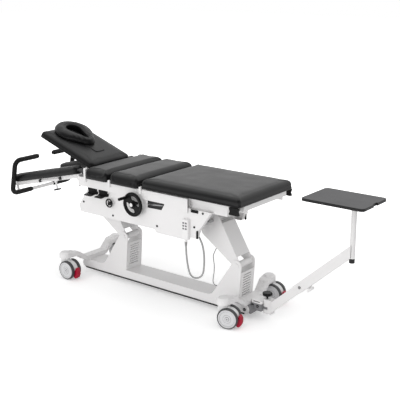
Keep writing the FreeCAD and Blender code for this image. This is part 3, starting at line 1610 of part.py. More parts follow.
def release_lever(start, end):
    """Bent sheet lever with a rolled barrel on its pin and a lip for the fingers."""
    half = lever_thickness / 2.0
    web = end_profile([(-lever_pin_y + half, lever_pin_z, 0), (-lever_pin_y - half, lever_pin_z, 0),
                       (-lever_pin_y - half, lever_drop_z + half, lever_bend / 2.0),
                       (-lever_reach_y, lever_drop_z - half, 0),
                       (-lever_reach_y, lever_drop_z - half - lever_thickness, 0),
                       (-lever_pin_y + half, lever_drop_z - half, lever_bend)], start, end)
    barrel = rod((start, -lever_pin_y, lever_pin_z), (end, -lever_pin_y, lever_pin_z),
                 lever_barrel_radius)
    bore = rod((start - overlap, -lever_pin_y, lever_pin_z), (end + overlap, -lever_pin_y, lever_pin_z),
               lever_pin_radius + running_gap)
    low = lever_drop_z - 2 * lever_thickness
    trims = []
    for side_start, side_end in ((start - overlap, start + lever_lip_inset),
                                 (end - lever_lip_inset, end + overlap)):
        trims.append(box(side_start, side_end, -lever_reach_y - overlap,
                         -lever_pin_y - 2 * lever_thickness, low, lever_pin_z))
    return [cut(fuse([web, barrel]), [bore] + trims)]


def head_release_lever():
    return release_lever(lever_head_start, lever_head_end)


def armrest_release_lever():
    return release_lever(lever_arm_start, lever_arm_end)


def kidney():
    """Kidney-shaped opening in the web of the handwheel, above its hub."""
    reach = 2 * kidney_outer_radius
    start = math.radians(90.0 - kidney_span / 2.0)
    end = math.radians(90.0 + kidney_span / 2.0)
    wedge = side_profile([(0, 0, 0), (reach * math.cos(start), reach * math.sin(start), 0),
                          (0, reach, 0), (reach * math.cos(end), reach * math.sin(end), 0)],
                         -wheel_plane_y - wheel_web_thickness, -wheel_plane_y + wheel_web_thickness)
    ring = cross_rod(0, 0, -wheel_plane_y - wheel_web_thickness, -wheel_plane_y + wheel_web_thickness,
                     kidney_outer_radius)
    core = cross_rod(0, 0, -wheel_plane_y - wheel_web_thickness, -wheel_plane_y + wheel_web_thickness,
                     kidney_inner_radius)
    shape = ring.cut(core).common(wedge)
    uprights = [item for item in shape.Edges if isinstance(item.Curve, (Part.Line, Part.LineSegment))
                and item.BoundBox.YLength > wheel_web_thickness]
    return shape.makeFillet(wheel_rim_section, uprights)


def grip_place():
    angle = math.radians(wheel_grip_angle)
    return (handwheel_x + wheel_grip_reach * math.cos(angle),
            handwheel_z + wheel_grip_reach * math.sin(angle))


def handwheel():
    """Handwheel with two kidney openings, its hub cap, shaft and the bolt of the grip."""
    rim = Part.makeTorus(wheel_rim_radius, wheel_rim_section, V(0, -wheel_plane_y, 0), Y_AXIS)
    half = wheel_web_thickness / 2.0
    web = cross_rod(0, 0, -wheel_plane_y - half, -wheel_plane_y + half, wheel_web_radius)
    hub = cross_rod(0, 0, -wheel_hub_outer_y, -wheel_hub_inner_y, wheel_hub_radius)
    cap = cross_rod(0, 0, -wheel_hub_outer_y - wheel_cap_height, -wheel_hub_outer_y, wheel_cap_radius)
    shaft = cross_rod(0, 0, -wheel_hub_inner_y - overlap, -wheel_shaft_end_y, wheel_shaft_radius)
    upper = kidney()
    lower = turned(upper, (0, 0, 0), Y_AXIS, 180.0)
    wheel = fuse([cut(web, [upper, lower]), rim, hub, cap, shaft])
    wheel.rotate(V(0, 0, 0), Y_AXIS, -wheel_grip_angle)
    wheel.translate(V(handwheel_x, 0, handwheel_z))
    x, z = grip_place()
    bolt = cross_rod(x, z, -wheel_grip_outer_y + 4 * side_gap, -wheel_plane_y, wheel_bolt_radius)
    return [fuse([wheel, bolt])]


def handwheel_grip():
    """Barrel grip that spins on the handwheel's bolt."""
    x, z = grip_place()
    grip = cross_rod(x, z, -wheel_grip_outer_y, -wheel_grip_inner_y, wheel_grip_radius)
    rims = [item for item in grip.Edges if item.Closed]
    grip = grip.makeFillet(rail_wall, rims)
    bore = cross_rod(x, z, -wheel_grip_outer_y + 3 * side_gap, -wheel_grip_inner_y + overlap,
                     wheel_bolt_radius + running_gap)
    return [grip.cut(bore)]


def ring_knob():
    """Spoked ring knob with a small finger grip, on a shaft through the panel."""
    ring = Part.makeTorus(ring_knob_radius, ring_knob_section,
                          V(ring_knob_x, -ring_knob_y, ring_knob_z), Y_AXIS)
    hub = cross_rod(ring_knob_x, ring_knob_z, -ring_knob_y - ring_knob_section,
                    -panel_face_y - side_gap, ring_knob_hub_radius)
    shaft_end = -panel_inner_y + ring_knob_boss_depth - rail_wall - air_gap
    shaft = cross_rod(ring_knob_x, ring_knob_z, -ring_knob_y, shaft_end, ring_knob_shaft_radius)
    spokes = []
    for index in range(ring_knob_spokes):
        angle = math.radians(360.0 * index / ring_knob_spokes)
        spokes.append(rod((ring_knob_x, -ring_knob_y, ring_knob_z),
                          (ring_knob_x + ring_knob_radius * math.cos(angle), -ring_knob_y,
                           ring_knob_z + ring_knob_radius * math.sin(angle)),
                          ring_knob_section * 0.8))
    grip = cross_rod(ring_knob_x + ring_knob_radius, ring_knob_z,
                     -ring_knob_y - ring_knob_grip_length, -ring_knob_y, ring_knob_grip_radius)
    tips = [item for item in grip.Edges if item.Closed and item.BoundBox.YMax < -ring_knob_y - overlap]
    grip = grip.makeFillet(rail_wall, tips)
    return [fuse([ring, hub, shaft, grip] + spokes)]


# Hand control and leads

def hand_control():
    """Handset hung on the near panel, with its cable gland."""
    half = handset_width / 2.0
    body = box(handset_x - half, handset_x + half, -panel_face_y - handset_depth, -panel_face_y,
               handset_bottom, handset_top)
    edges = [item for item in body.Edges if item.BoundBox.YMax < -panel_face_y - overlap
             or item.BoundBox.YLength > handset_depth / 2.0]
    body = body.makeFillet(handset_edge, edges)
    gland = rod((handset_x, -lead_outer_y, handset_bottom - handset_gland_length),
                (handset_x, -lead_outer_y, handset_bottom + overlap), gland_radius)
    return [body.fuse(gland)]


def hand_control_lead():
    """Lead that hangs in a loop from the handset and rises behind the side panel."""
    start_z = handset_bottom - handset_gland_length
    end_z = low_member_bottom - lead_lug_length
    return [cord([(handset_x, -lead_outer_y, start_z), (handset_x, -lead_outer_y, 432.0),
                  (358.0, -lead_outer_y, 392.0), (363.0, -lead_outer_y, 350.0),
                  (371.0, -lead_outer_y, 307.0), (383.2, -250.3, 264.3), (401.3, -237.2, 242.0),
                  (426.7, -218.8, 242.0), (444.8, -205.7, 264.3), (449.0, -201.0, 305.0),
                  (450.0, -lead_inner_y, 348.0), (448.0, -lead_inner_y, 396.0),
                  (438.0, -lead_inner_y, 442.0), (416.0, -lead_inner_y, 482.0),
                  (386.0, -lead_inner_y, 512.0), (358.0, -lead_inner_y, 538.0),
                  (lead_lug_x, -lead_inner_y, 564.0),
                  (lead_lug_x, -lead_inner_y, end_z)], lead_radius)]


def earth_lead():
    """Thin lead that hangs between the foot tower and the lift arm."""
    y = -earth_lead_y
    top = earth_clip_bottom - air_gap
    return [cord([(earth_clip_x, y, top), (earth_clip_x, y, 386.0), (408.0, y, 356.0),
                  (394.0, y, 326.0), (399.0, y, 292.0), (404.0, y, 262.0), (403.0, y, 225.0),
                  (397.0, y, 188.0), (393.0, y, 160.0), (402.0, y, 142.0), (424.0, y, 138.0),
                  (448.0, y, 144.0), (464.0, y, earth_lug_z), (earth_lug_x, y, earth_lug_z)],
                 earth_lead_radius)]


# Stand for the traction unit, modelled level along +X from its root and then tilted up

def on_beam_slope(shape):
    shape.rotate(V(0, 0, 0), Y_AXIS, -beam_slope)
    shape.translate(V(beam_root_x, 0, beam_root_z))
    return shape


def beam_box(start, end, depth, width):
    return box(start, end, -width / 2.0, width / 2.0, -depth / 2.0, depth / 2.0)


def upper_depth():
    return beam_depth + 2 * (beam_wall + beam_clearance)


def clamp_hub_end():
    return -upper_depth() / 2.0 - clamp_hub_height


def stand_arm():
    """Round-ended upright root on the bracket's tongue, with the lower beam welded to it."""
    outer = beam_box(0, lower_beam_length, beam_depth, beam_width)
    hollow = beam_box(beam_depth, lower_beam_length + overlap,
                      beam_depth - 2 * beam_wall, beam_width - 2 * beam_wall)
    beam = on_beam_slope(outer.cut(hollow))
    behind = box(0, swivel_root_end - overlap, -beam_width, beam_width, 0, 2 * stand_hub_top)
    root = fuse([rod((swivel_x, 0, swivel_root_bottom), (swivel_x, 0, stand_hub_top),
                     swivel_boss_radius),
                 box(swivel_x, swivel_root_end, -swivel_boss_radius, swivel_boss_radius,
                     swivel_root_bottom, stand_hub_top)])
    reach = swivel_x + swivel_tongue_half_width + side_gap
    slot = box(swivel_x - 2 * swivel_boss_radius, reach, -beam_width, beam_width,
               swivel_tongue_bottom - air_gap, swivel_tongue_top + air_gap)
    pivot = rod((swivel_x, 0, swivel_root_bottom), (swivel_x, 0, stand_hub_top),
                stand_pivot_radius)
    socket = rod((swivel_x, 0, stand_hub_top - stand_knob_socket),
                 (swivel_x, 0, stand_hub_top + overlap), stand_knob_stem_radius + running_gap)
    return [cut(fuse([beam.cut(behind), root.cut(slot), pivot]), [socket])]


def swivel_knob():
    """Lobed clamp knob on top of the stand arm's root."""
    foot = stand_hub_top - stand_knob_socket + air_gap
    top = stand_knob_bottom + stand_knob_height
    stem = rod((swivel_x, 0, foot), (swivel_x, 0, stand_knob_bottom + overlap),
               stand_knob_stem_radius)
    hub = rod((swivel_x, 0, stand_knob_bottom - stand_knob_hub_drop),
              (swivel_x, 0, stand_knob_bottom + overlap), stand_knob_hub_radius)
    disc = rod((swivel_x, 0, stand_knob_bottom), (swivel_x, 0, top), stand_knob_radius)
    rims = [item for item in disc.Edges if item.Closed]
    disc = disc.makeFillet(stand_knob_edge, rims)
    notches = []
    for index in range(stand_knob_lobes):
        angle = 2 * math.pi * index / stand_knob_lobes
        x = swivel_x + stand_knob_notch_reach * math.cos(angle)
        y = stand_knob_notch_reach * math.sin(angle)
        notches.append(rod((x, y, 0), (x, y, 2 * top), stand_knob_notch_radius))
    return [fuse([cut(disc, notches), hub, stem])]


def stand_beam_upper():
    """Upper beam that slides over the lower one and carries the post at its end."""
    depth = upper_depth()
    width = beam_width + 2 * (beam_wall + beam_clearance)
    end = (post_x - beam_root_x) / math.cos(math.radians(beam_slope)) + beam_depth
    outer = beam_box(upper_beam_start, end, depth, width)
    hollow = beam_box(upper_beam_start - overlap, end + overlap, depth - 2 * beam_wall,
                      width - 2 * beam_wall)
    hub = rod((clamp_hub_along, 0, clamp_hub_end()),
              (clamp_hub_along, 0, -depth / 2.0 + overlap), clamp_hub_radius)
    bore = rod((clamp_hub_along, 0, clamp_hub_end() - overlap), (clamp_hub_along, 0, 0),
               beam_knob_stem_radius + running_gap)
    bolt = cross_rod(beam_bolt_along, 0, -width / 2.0 - beam_bolt_height,
                     -width / 2.0 + overlap, beam_bolt_radius)
    beam = on_beam_slope(fuse([cut(fuse([outer, hub]), [hollow, bore]), bolt]))
    beyond = box(post_x, post_x + 3 * beam_depth, -beam_width, beam_width, 0, tray_top)
    seat = rod((post_x, 0, 0), (post_x, 0, tray_top), post_radius + running_gap)
    return [cut(beam, [beyond, seat])]


def beam_clamp_knob():
    """Round clamp knob on the underside of the upper beam."""
    top = -beam_depth / 2.0 - beam_clearance - air_gap
    head = clamp_hub_end() - beam_knob_gap
    stem = rod((clamp_hub_along, 0, head - overlap), (clamp_hub_along, 0, top), beam_knob_stem_radius)
    disc = rod((clamp_hub_along, 0, head - beam_knob_height), (clamp_hub_along, 0, head),
               beam_knob_radius)
    rims = [item for item in disc.Edges if item.Closed]
    return [on_beam_slope(fuse([disc.makeFillet(beam_knob_edge, rims), stem]))]


def tray_post():
    """Post that stands in the end of the upper beam and carries the tray."""
    return [rod((post_x, 0, post_bottom), (post_x, 0, post_top), post_radius)]


def tray():
    """Shelf for the traction unit: rounded plate with a cord notch, and a socket below it."""
    plate = slab([(tray_head_end, -tray_half_width, tray_corner), (tray_foot_end, -tray_half_width, tray_corner),
                  (tray_foot_end, tray_half_width, tray_corner), (tray_head_end, tray_half_width, tray_corner)],
                 tray_bottom, tray_top, tray_edge, side_gap)
    notch = box(tray_foot_end - tray_notch_depth, tray_foot_end + overlap, -tray_notch_half_width,
                tray_notch_half_width, tray_bottom - overlap, tray_top + overlap)
    socket = rod((post_x, 0, tray_socket_bottom), (post_x, 0, tray_bottom), tray_socket_radius)
    bore = rod((post_x, 0, tray_socket_bottom - overlap), (post_x, 0, post_top + air_gap),
               post_radius + running_gap)
    return [cut(fuse([plate.cut(notch), socket]), [bore])]


# Every node and the pieces in it

nodes = {
    "base_side_plates": base_side_plates(),
    "base_covers": base_covers(),
    "seal_strips": seal_strips(),
    "cross_arms": cross_arms(),
    "cross_arm_covers": cross_arm_covers(),
    "lower_pivot_pins": lower_pivot_pins(),
    "stand_bracket": stand_bracket(),
    "stand_bracket_cover": stand_bracket_cover(),
    "earth_lead": earth_lead(),
    "stand_arm": stand_arm(),
    "swivel_knob": swivel_knob(),
    "stand_beam_upper": stand_beam_upper(),
    "beam_clamp_knob": beam_clamp_knob(),
    "tray_post": tray_post(),
    "tray": tray(),
    "foot_lift_arm": foot_lift_arm(),
    "head_lift_arm": head_lift_arm(),
    "lift_actuator": lift_actuator(),
    "lift_actuator_rod": lift_actuator_rod(),
    "side_panel_near": side_panel_near(),
    "side_panel_far": side_panel_far(),
    "side_rails": side_rails(),
    "deck_cross_members": deck_cross_members(),
    "deck_pivot_shafts": deck_pivot_shafts(),
    "panel_plugs_and_trim": panel_plugs_and_trim(),
    "cushion_thoracic": cushion_thoracic(),
    "cushion_lumbar": cushion_lumbar(),
    "hand_control": hand_control(),
    "hand_control_lead": hand_control_lead(),
    "flexion_frame": flexion_frame(),
    "flexion_pinion": flexion_pinion(),
    "carriage_frame": carriage_frame(),
    "cushion_pelvic": cushion_pelvic(),
    "strap_cleats": strap_cleats(),
    "head_board": head_board(),
    "cushion_head": cushion_head(),
    "face_pillow": face_pillow(),
    "armrest_frame": armrest_frame(),
    "arm_pads": arm_pads(),
    "handlebar": handlebar(),
    "hand_grips": hand_grips(),
    "armrest_knob_near": armrest_knob_near(),
    "armrest_knob_far": armrest_knob_far(),
    "head_release_lever": head_release_lever(),
    "armrest_release_lever": armrest_release_lever(),
    "handwheel": handwheel(),
    "handwheel_grip": handwheel_grip(),
    "ring_knob": ring_knob(),
}
nodes.update(castors())


def export_nodes():
    """Centres the table over its origin and writes one file for each node."""
    cords = ("hand_control_lead", "earth_lead")
    whole = FreeCAD.BoundBox()
    for name, shapes in nodes.items():
        for shape in shapes:
            if name not in cords:
                whole.add(shape.optimalBoundingBox(False, False))
    shift = V(-whole.Center.x, -whole.Center.y, 0)
    print("shift %.3f %.3f, size %.1f x %.1f x %.1f, lowest %.3f" % (
        shift.x, shift.y, whole.XLength, whole.YLength, whole.ZLength, whole.ZMin))
    os.makedirs("parts", exist_ok=True)
    for name, shapes in nodes.items():
        solids = []
        for shape in shapes:
            shape.translate(shift)
            solids += shape.Solids
        sound = all(solid.isValid() for solid in solids)
        print("%-24s solids %2d sound %s" % (name, len(solids), sound))
        node_shape = solids[0] if len(solids) == 1 else Part.makeCompound(solids)
        node_shape.exportStep("parts/%s.step" % name)


export_nodes()
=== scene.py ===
import bmesh
import bpy
import math
from mathutils import Matrix, Vector, noise
from mathutils.bvhtree import BVHTree


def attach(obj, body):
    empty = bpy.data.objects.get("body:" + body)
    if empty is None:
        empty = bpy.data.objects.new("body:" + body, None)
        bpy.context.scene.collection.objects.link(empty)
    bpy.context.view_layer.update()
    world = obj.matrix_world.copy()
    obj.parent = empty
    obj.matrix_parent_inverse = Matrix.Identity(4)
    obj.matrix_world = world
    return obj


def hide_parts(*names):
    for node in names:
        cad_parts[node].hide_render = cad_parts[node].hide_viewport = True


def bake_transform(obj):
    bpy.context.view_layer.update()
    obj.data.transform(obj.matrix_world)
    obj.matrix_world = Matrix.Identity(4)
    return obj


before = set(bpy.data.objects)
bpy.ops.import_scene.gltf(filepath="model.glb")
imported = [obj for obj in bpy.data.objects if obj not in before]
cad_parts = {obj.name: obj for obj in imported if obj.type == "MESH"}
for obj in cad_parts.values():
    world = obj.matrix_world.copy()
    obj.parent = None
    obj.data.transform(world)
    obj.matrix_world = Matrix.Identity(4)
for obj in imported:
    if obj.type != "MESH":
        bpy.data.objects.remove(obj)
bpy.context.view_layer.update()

scene = bpy.context.scene


# Camera: it stands near the foot end, a little above the tray, and looks slightly down.
# Places are given in millimetres from the middle of the base, and place() turns them into
# metres from the middle of the whole table, which is where the frame has its origin.
table_middle_x, table_middle_y = 118.670, -30.859
camera_spot = (3193.7, -3775.0, 1964.8)
camera_dip, camera_turn = 15.499, 37.819
camera_lens = 74.01
farthest_seen = 60.0


def place(x, y, z):
    """Point in metres from millimetres along, across and up."""
    return Vector((x - table_middle_x, y - table_middle_y, z)) / 1000.0


camera = bpy.data.objects.new("studio_camera", bpy.data.cameras.new("studio_camera"))
scene.collection.objects.link(camera)
camera.location = place(*camera_spot)
camera.rotation_euler = (math.radians(90 - camera_dip), 0.0, math.radians(camera_turn))
camera.data.lens = camera_lens
camera.data.clip_end = farthest_seen
scene.camera = camera


# Lead of the hand control: 11 mm grey PVC cable, moulded to the handset. It hangs in one loop
# and comes back up behind the side panel to the low cross member, 641 mm from end to end.
hand_lead_diameter = 0.011
sheath_rounding = 5
steps_per_point = 8


def laid_lead(name, points, diameter):
    """Lead along control points. Each point scales a sheath of one metre down to its radius,
    which keeps the curve's bounds close."""
    curve = bpy.data.curves.new(name, "CURVE")
    curve.dimensions = "3D"
    curve.bevel_depth = 1.0 if diameter else 0.0
    curve.bevel_resolution = sheath_rounding
    curve.resolution_u = steps_per_point
    spline = curve.splines.new("NURBS")
    spline.points.add(len(points) - 1)
    for point, spot in zip(spline.points, points):
        point.co = (*place(*spot), 1.0)
        point.radius = diameter / 2
    spline.order_u = 3
    spline.use_endpoint_u = True
    lead = bpy.data.objects.new(name, curve)
    scene.collection.objects.link(lead)
    return lead


hand_lead_route = [
    (356, -252, 459), (356, -252, 432), (358, -252, 392), (363, -252, 350), (371, -252, 307),
    (383.2, -250.3, 264.3), (401.3, -237.2, 242), (426.7, -218.8, 242), (444.8, -205.7, 264.3),
    (449, -201, 305), (450, -200, 348), (448, -200, 396), (438, -200, 442), (416, -200, 482),
    (386, -200, 512), (358, -200, 538), (345, -200, 564), (345, -200, 584)]
hand_lead = laid_lead("hand_lead", hand_lead_route, hand_lead_diameter)
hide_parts("hand_control_lead")
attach(hand_lead, "deck")


# Earth lead: 6 mm cable between a clip on the foot arm and a clip inside the foot tower.
# On the table it bends with the arm; here it is a mesh tube that follows its own smooth line and
# stays where it is laid.
earth_lead_radius = 0.003
earth_lead_route = [
    (424, -40, 404), (424, -40, 386), (408, -40, 356), (394, -40, 326), (399, -40, 292),
    (404, -40, 262), (403, -40, 225), (397, -40, 188), (393, -40, 160), (402, -40, 142),
    (424, -40, 138), (448, -40, 144), (464, -40, 150), (480, -40, 150)]


def skinned(mesh, rings):
    """Skin of four-sided faces from ring to ring."""
    return [mesh.faces.new((lower[step - 1], lower[step], upper[step], upper[step - 1]))
            for lower, upper in zip(rings, rings[1:]) for step in range(len(lower))]


def closed_skin(mesh, rings):
    """Skin from ring to ring, with a flat face on both ends."""
    ends = [mesh.faces.new(list(reversed(rings[0]))), mesh.faces.new(rings[-1])]
    return ends + skinned(mesh, rings)


def tube_along(name, line, radii, sides=12):
    """Closed tube round a line of points, with capped ends and a radius at each point."""
    mesh = bmesh.new()
    rings = []
    side = None
    for index, (spot, reach) in enumerate(zip(line, radii)):
        heading = (line[min(index + 1, len(line) - 1)] - line[max(index - 1, 0)]).normalized()
        if side is None:
            side = heading.orthogonal().normalized()
        side = (side - heading * side.dot(heading)).normalized()
        up = heading.cross(side)
        rings.append([mesh.verts.new(spot + reach * (math.cos(turn) * side + math.sin(turn) * up))
                      for turn in (2 * math.pi * step / sides for step in range(sides))])
    closed_skin(mesh, rings)
    for face in mesh.faces:
        face.smooth = len(face.verts) == 4
    return shown(name, mesh)


def smooth(data):
    """Smooth shading over a whole mesh."""
    for polygon in data.polygons:
        polygon.use_smooth = True


def shown(name, mesh, crease=None):
    """Puts a finished bmesh into the scene as one piece, smooth up to a crease angle."""
    bmesh.ops.recalc_face_normals(mesh, faces=mesh.faces)
    data = bpy.data.meshes.new(name)
    mesh.to_mesh(data)
    mesh.free()
    if crease:
        smooth(data)
        data.set_sharp_from_angle(angle=math.radians(crease))
    piece = bpy.data.objects.new(name, data)
    scene.collection.objects.link(piece)
    return piece


earth_line_curve = laid_lead("earth_line", earth_lead_route, 0.0)
bpy.context.view_layer.update()
line_mesh = bpy.data.meshes.new_from_object(earth_line_curve)
earth_line = [vertex.co.copy() for vertex in line_mesh.vertices]
bpy.data.objects.remove(earth_line_curve)
bpy.data.meshes.remove(line_mesh)
earth_lead = tube_along("earth_lead_line", earth_line, [earth_lead_radius] * len(earth_line))
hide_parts("earth_lead")
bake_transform(earth_lead)


# Base, deck and stand: laser-cut and folded steel sheet and welded box tube, powder-coated white.
# The coat has a fine orange-peel texture, a soft rounded look on every edge and a painted
# highlight along its edges.
def shader_group(name, inputs, outputs):
    """Empty node group with named sockets, and its first and last node."""
    tree = bpy.data.node_groups.new(name, "ShaderNodeTree")
    for label, kind, value in inputs:
        socket = tree.interface.new_socket(label, in_out="INPUT", socket_type=kind)
        socket.default_value = value
    for label, kind in outputs:
        tree.interface.new_socket(label, in_out="OUTPUT", socket_type=kind)
    return tree, tree.nodes.new("NodeGroupInput"), tree.nodes.new("NodeGroupOutput")


def feed(tree, socket, value):
    """Links a socket to another one, or gives it a fixed value."""
    if isinstance(value, bpy.types.NodeSocket):
        tree.links.new(value, socket)
    else:
        socket.default_value = value


def math_node(tree, operation, first, second):
    """Arithmetic on two sockets or numbers."""
    node = tree.nodes.new("ShaderNodeMath")
    node.operation = operation
    feed(tree, node.inputs[0], first)
    feed(tree, node.inputs[1], second)
    return node.outputs[0]


def vector_node(tree, operation, *values):
    """Vector arithmetic on sockets or fixed vectors."""
    node = tree.nodes.new("ShaderNodeVectorMath")
    node.operation = operation
    for socket, value in zip(node.inputs, values):
        feed(tree, socket, value)
    return node.outputs


def own_space(tree):
    """Coordinates of a piece."""
    return tree.nodes.new("ShaderNodeTexCoord").outputs["Object"]


def clouds(tree, scale, detail):
    """Noise over a piece."""
    node = tree.nodes.new("ShaderNodeTexNoise")
    feed(tree, node.inputs["Vector"], own_space(tree))
    feed(tree, node.inputs["Scale"], scale)
    feed(tree, node.inputs["Detail"], detail)
    return node.outputs["Fac"]


grain_detail = 2.0
patches_per_metre, patch_detail = 6.0, 4.0
edge_samples, edge_gain = 6, 6.0


def moulded_texture():
    """Fine surface texture, broad colour patches, a mask of the edges and rounded normals."""
    tree, start, end = shader_group(
        "moulded_texture",
        [("Grain size", "NodeSocketFloat", 0.0008), ("Edge radius", "NodeSocketFloat", 0.001)],
        [("Height", "NodeSocketFloat"), ("Patches", "NodeSocketFloat"),
         ("Edges", "NodeSocketFloat"), ("Rounded", "NodeSocketVector")])
    links = tree.links
    scale = math_node(tree, "DIVIDE", 1.0, start.outputs["Grain size"])
    links.new(clouds(tree, scale, grain_detail), end.inputs["Height"])
    links.new(clouds(tree, patches_per_metre, patch_detail), end.inputs["Patches"])
    rounded = tree.nodes.new("ShaderNodeBevel")
    rounded.samples = edge_samples
    links.new(start.outputs["Edge radius"], rounded.inputs["Radius"])
    links.new(rounded.outputs["Normal"], end.inputs["Rounded"])
    true_normal = tree.nodes.new("ShaderNodeNewGeometry").outputs["Normal"]
    facing = vector_node(tree, "DOT_PRODUCT", rounded.outputs["Normal"], true_normal)["Value"]
    turned_away = math_node(tree, "SUBTRACT", 1.0, facing)
    edges = math_node(tree, "MULTIPLY", turned_away, edge_gain)
    links.new(math_node(tree, "MINIMUM", edges, 1.0), end.inputs["Edges"])
    return tree


moulded_group = moulded_texture()


def mixed(tree, factor, first, second):
    """Colour mix of two sockets or colours."""
    node = tree.nodes.new("ShaderNodeMix")
    node.data_type = "RGBA"
    tree.links.new(factor, node.inputs[0])
    for socket, value in ((node.inputs[6], first), (node.inputs[7], second)):
        feed(tree, socket, (*value, 1.0) if isinstance(value, tuple) else value)
    return node.outputs[2]


def shade(colour, by):
    """Lighter or darker tone of a colour."""
    return tuple(min(1.0, part * by) for part in colour)


def surfaced(tree, patches, height, roughness, wander, depth):
    """Roughness that wanders with the patches, and a bump from the height."""
    shader = tree.nodes["Principled BSDF"]
    spread = tree.nodes.new("ShaderNodeMapRange")
    tree.links.new(patches, spread.inputs["Value"])
    spread.inputs["To Min"].default_value = roughness - wander
    spread.inputs["To Max"].default_value = roughness + wander
    tree.links.new(spread.outputs["Result"], shader.inputs["Roughness"])
    bump = tree.nodes.new("ShaderNodeBump")
    bump.inputs["Distance"].default_value = depth
    tree.links.new(height, bump.inputs["Height"])
    tree.links.new(bump.outputs["Normal"], shader.inputs["Normal"])
    return bump


# Edges are painted lighter by this tone: a painted highlight along every edge.
edge_highlight_tone, edge_radius = 1.08, 0.001


def finish(name, colour, roughness, grain=0.0008, depth=0.00004, edge_highlight_colour=None, patch=0.06,
           metallic=0.0, index=1.5):
    """Material of a hard piece: coated, moulded, cast or plated, with a painted highlight along
    its edges.
    """
    material = bpy.data.materials.new(name)
    material.use_nodes = True
    tree = material.node_tree
    shader = tree.nodes["Principled BSDF"]
    texture = tree.nodes.new("ShaderNodeGroup")
    texture.node_tree = moulded_group
    texture.inputs["Grain size"].default_value = grain
    texture.inputs["Edge radius"].default_value = edge_radius
    toned = mixed(tree, texture.outputs["Patches"], shade(colour, 1 - patch),
                  shade(colour, 1 + patch))
    # Painted highlight: the edge mask mixes in a lighter colour.
    edge_highlit = mixed(tree, texture.outputs["Edges"], toned,
                 edge_highlight_colour or shade(colour, edge_highlight_tone))
    tree.links.new(edge_highlit, shader.inputs["Base Color"])
    bump = surfaced(tree, texture.outputs["Patches"], texture.outputs["Height"], roughness, 0.06,
                    depth)
    tree.links.new(texture.outputs["Rounded"], bump.inputs["Normal"])
    shader.inputs["Metallic"].default_value = metallic
    shader.inputs["IOR"].default_value = index
    return material


def dress(material, *nodes):
    """Gives CAD nodes or pieces a material."""
    for node in nodes:
        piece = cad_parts[node] if isinstance(node, str) else node
        piece.data.materials.clear()
        piece.data.materials.append(material)


def powder_coat(name):
    """White powder coat, a little warm."""
    return finish(name, (0.80, 0.79, 0.79), 0.36, depth=0.00003, patch=0.02)


white_coat = powder_coat("white_powder_coat")
dress(white_coat, "base_side_plates", "base_covers", "cross_arms", "foot_lift_arm",
      "head_lift_arm", "side_panel_near", "side_panel_far", "side_rails", "deck_cross_members",
      "flexion_frame", "carriage_frame", "handlebar", "stand_arm", "stand_beam_upper",
      "lower_pivot_pins")


# Strips along the lower edges of the side plates, painted black.
# It is matt, with a coarse skin.
base_edge_black = finish("base_edge_black", (0.030, 0.030, 0.032), 0.65, grain=0.0012)
dress(base_edge_black, "seal_strips")


# Sheath of both leads: light grey PVC, extruded over the wires and slightly matt.
# The boot under the handset is moulded in the same grey.
lead_grey = finish("lead_grey", (0.36, 0.36, 0.36), 0.45, grain=0.0006)
dress(lead_grey, hand_lead, earth_lead)


# Treads on the cross arms and the cap of the stand bracket: white ABS, moulded and screwed
# on from below. The same white goes for the handset and the small knob of the upper beam.
white_moulding = finish("white_moulding", (0.82, 0.81, 0.81), 0.32, grain=0.0005, depth=0.00002,
                        patch=0.02)
dress(white_moulding, "cross_arm_covers", "stand_bracket_cover")


# Steel shafts, the pinion and the piston rod: turned bar, zinc-plated, with fine turning
# marks. They are held by clips and set screws.
zinc_steel = finish("zinc_plated_steel", (0.55, 0.55, 0.56), 0.30, grain=0.0004, depth=0.00003,
                    metallic=1.0)
dress(zinc_steel, "deck_pivot_shafts", "flexion_pinion", "lift_actuator_rod")


# Actuator: drawn tube and motor housing on one line, painted dark grey, with a fork at each
# end that takes a pin.
actuator_grey = finish("actuator_grey", (0.20, 0.20, 0.21), 0.42, grain=0.001)
dress(actuator_grey, "lift_actuator")


# Castors: twin wheels with grey rubber tyres on light grey discs, a white hood between them
# and a red nylon brake pedal at the trailing side.
def round_zone():
    """Mask of what lies between two radii from an axis."""
    tree, start, end = shader_group(
        "round_zone",
        [("Centre", "NodeSocketVector", (0, 0, 0)), ("Axis", "NodeSocketVector", (0, 1, 0)),
         ("Inner", "NodeSocketFloat", 0.0), ("Outer", "NodeSocketFloat", 1.0)],
        [("Mask", "NodeSocketFloat")])
    where = own_space(tree)
    away = vector_node(tree, "SUBTRACT", where, start.outputs["Centre"])["Vector"]
    across = vector_node(tree, "CROSS_PRODUCT", away, start.outputs["Axis"])["Vector"]
    reach = vector_node(tree, "LENGTH", across)["Value"]
    beyond = math_node(tree, "GREATER_THAN", reach, start.outputs["Inner"])
    within = math_node(tree, "LESS_THAN", reach, start.outputs["Outer"])
    tree.links.new(math_node(tree, "MULTIPLY", beyond, within), end.inputs["Mask"])
    return tree


def block_zone():
    """Mask of what lies in an upright block."""
    tree, start, end = shader_group(
        "block_zone",
        [("Low", "NodeSocketVector", (0, 0, 0)), ("High", "NodeSocketVector", (1, 1, 1))],
        [("Mask", "NodeSocketFloat")])
    where = own_space(tree)
    mask = None
    for less, more in ((start.outputs["Low"], where), (where, start.outputs["High"])):
        split = tree.nodes.new("ShaderNodeSeparateXYZ")
        tree.links.new(vector_node(tree, "SUBTRACT", more, less)["Vector"], split.inputs[0])
        for axis in split.outputs:
            inside = math_node(tree, "GREATER_THAN", axis, 0.0)
            mask = inside if mask is None else math_node(tree, "MULTIPLY", mask, inside)
    tree.links.new(mask, end.inputs["Mask"])
    return tree


round_group = round_zone()
block_group = block_zone()


def second_colour(material, zone, colour, **places):
    """Paints one zone of a material in another colour, over what is there."""
    tree = material.node_tree
    mask = tree.nodes.new("ShaderNodeGroup")
    mask.node_tree = zone
    for label, value in places.items():
        mask.inputs[label].default_value = value
    shader = tree.nodes["Principled BSDF"]
    before = shader.inputs["Base Color"].links[0].from_socket
    tree.links.new(mixed(tree, mask.outputs["Mask"], before, colour), shader.inputs["Base Color"])


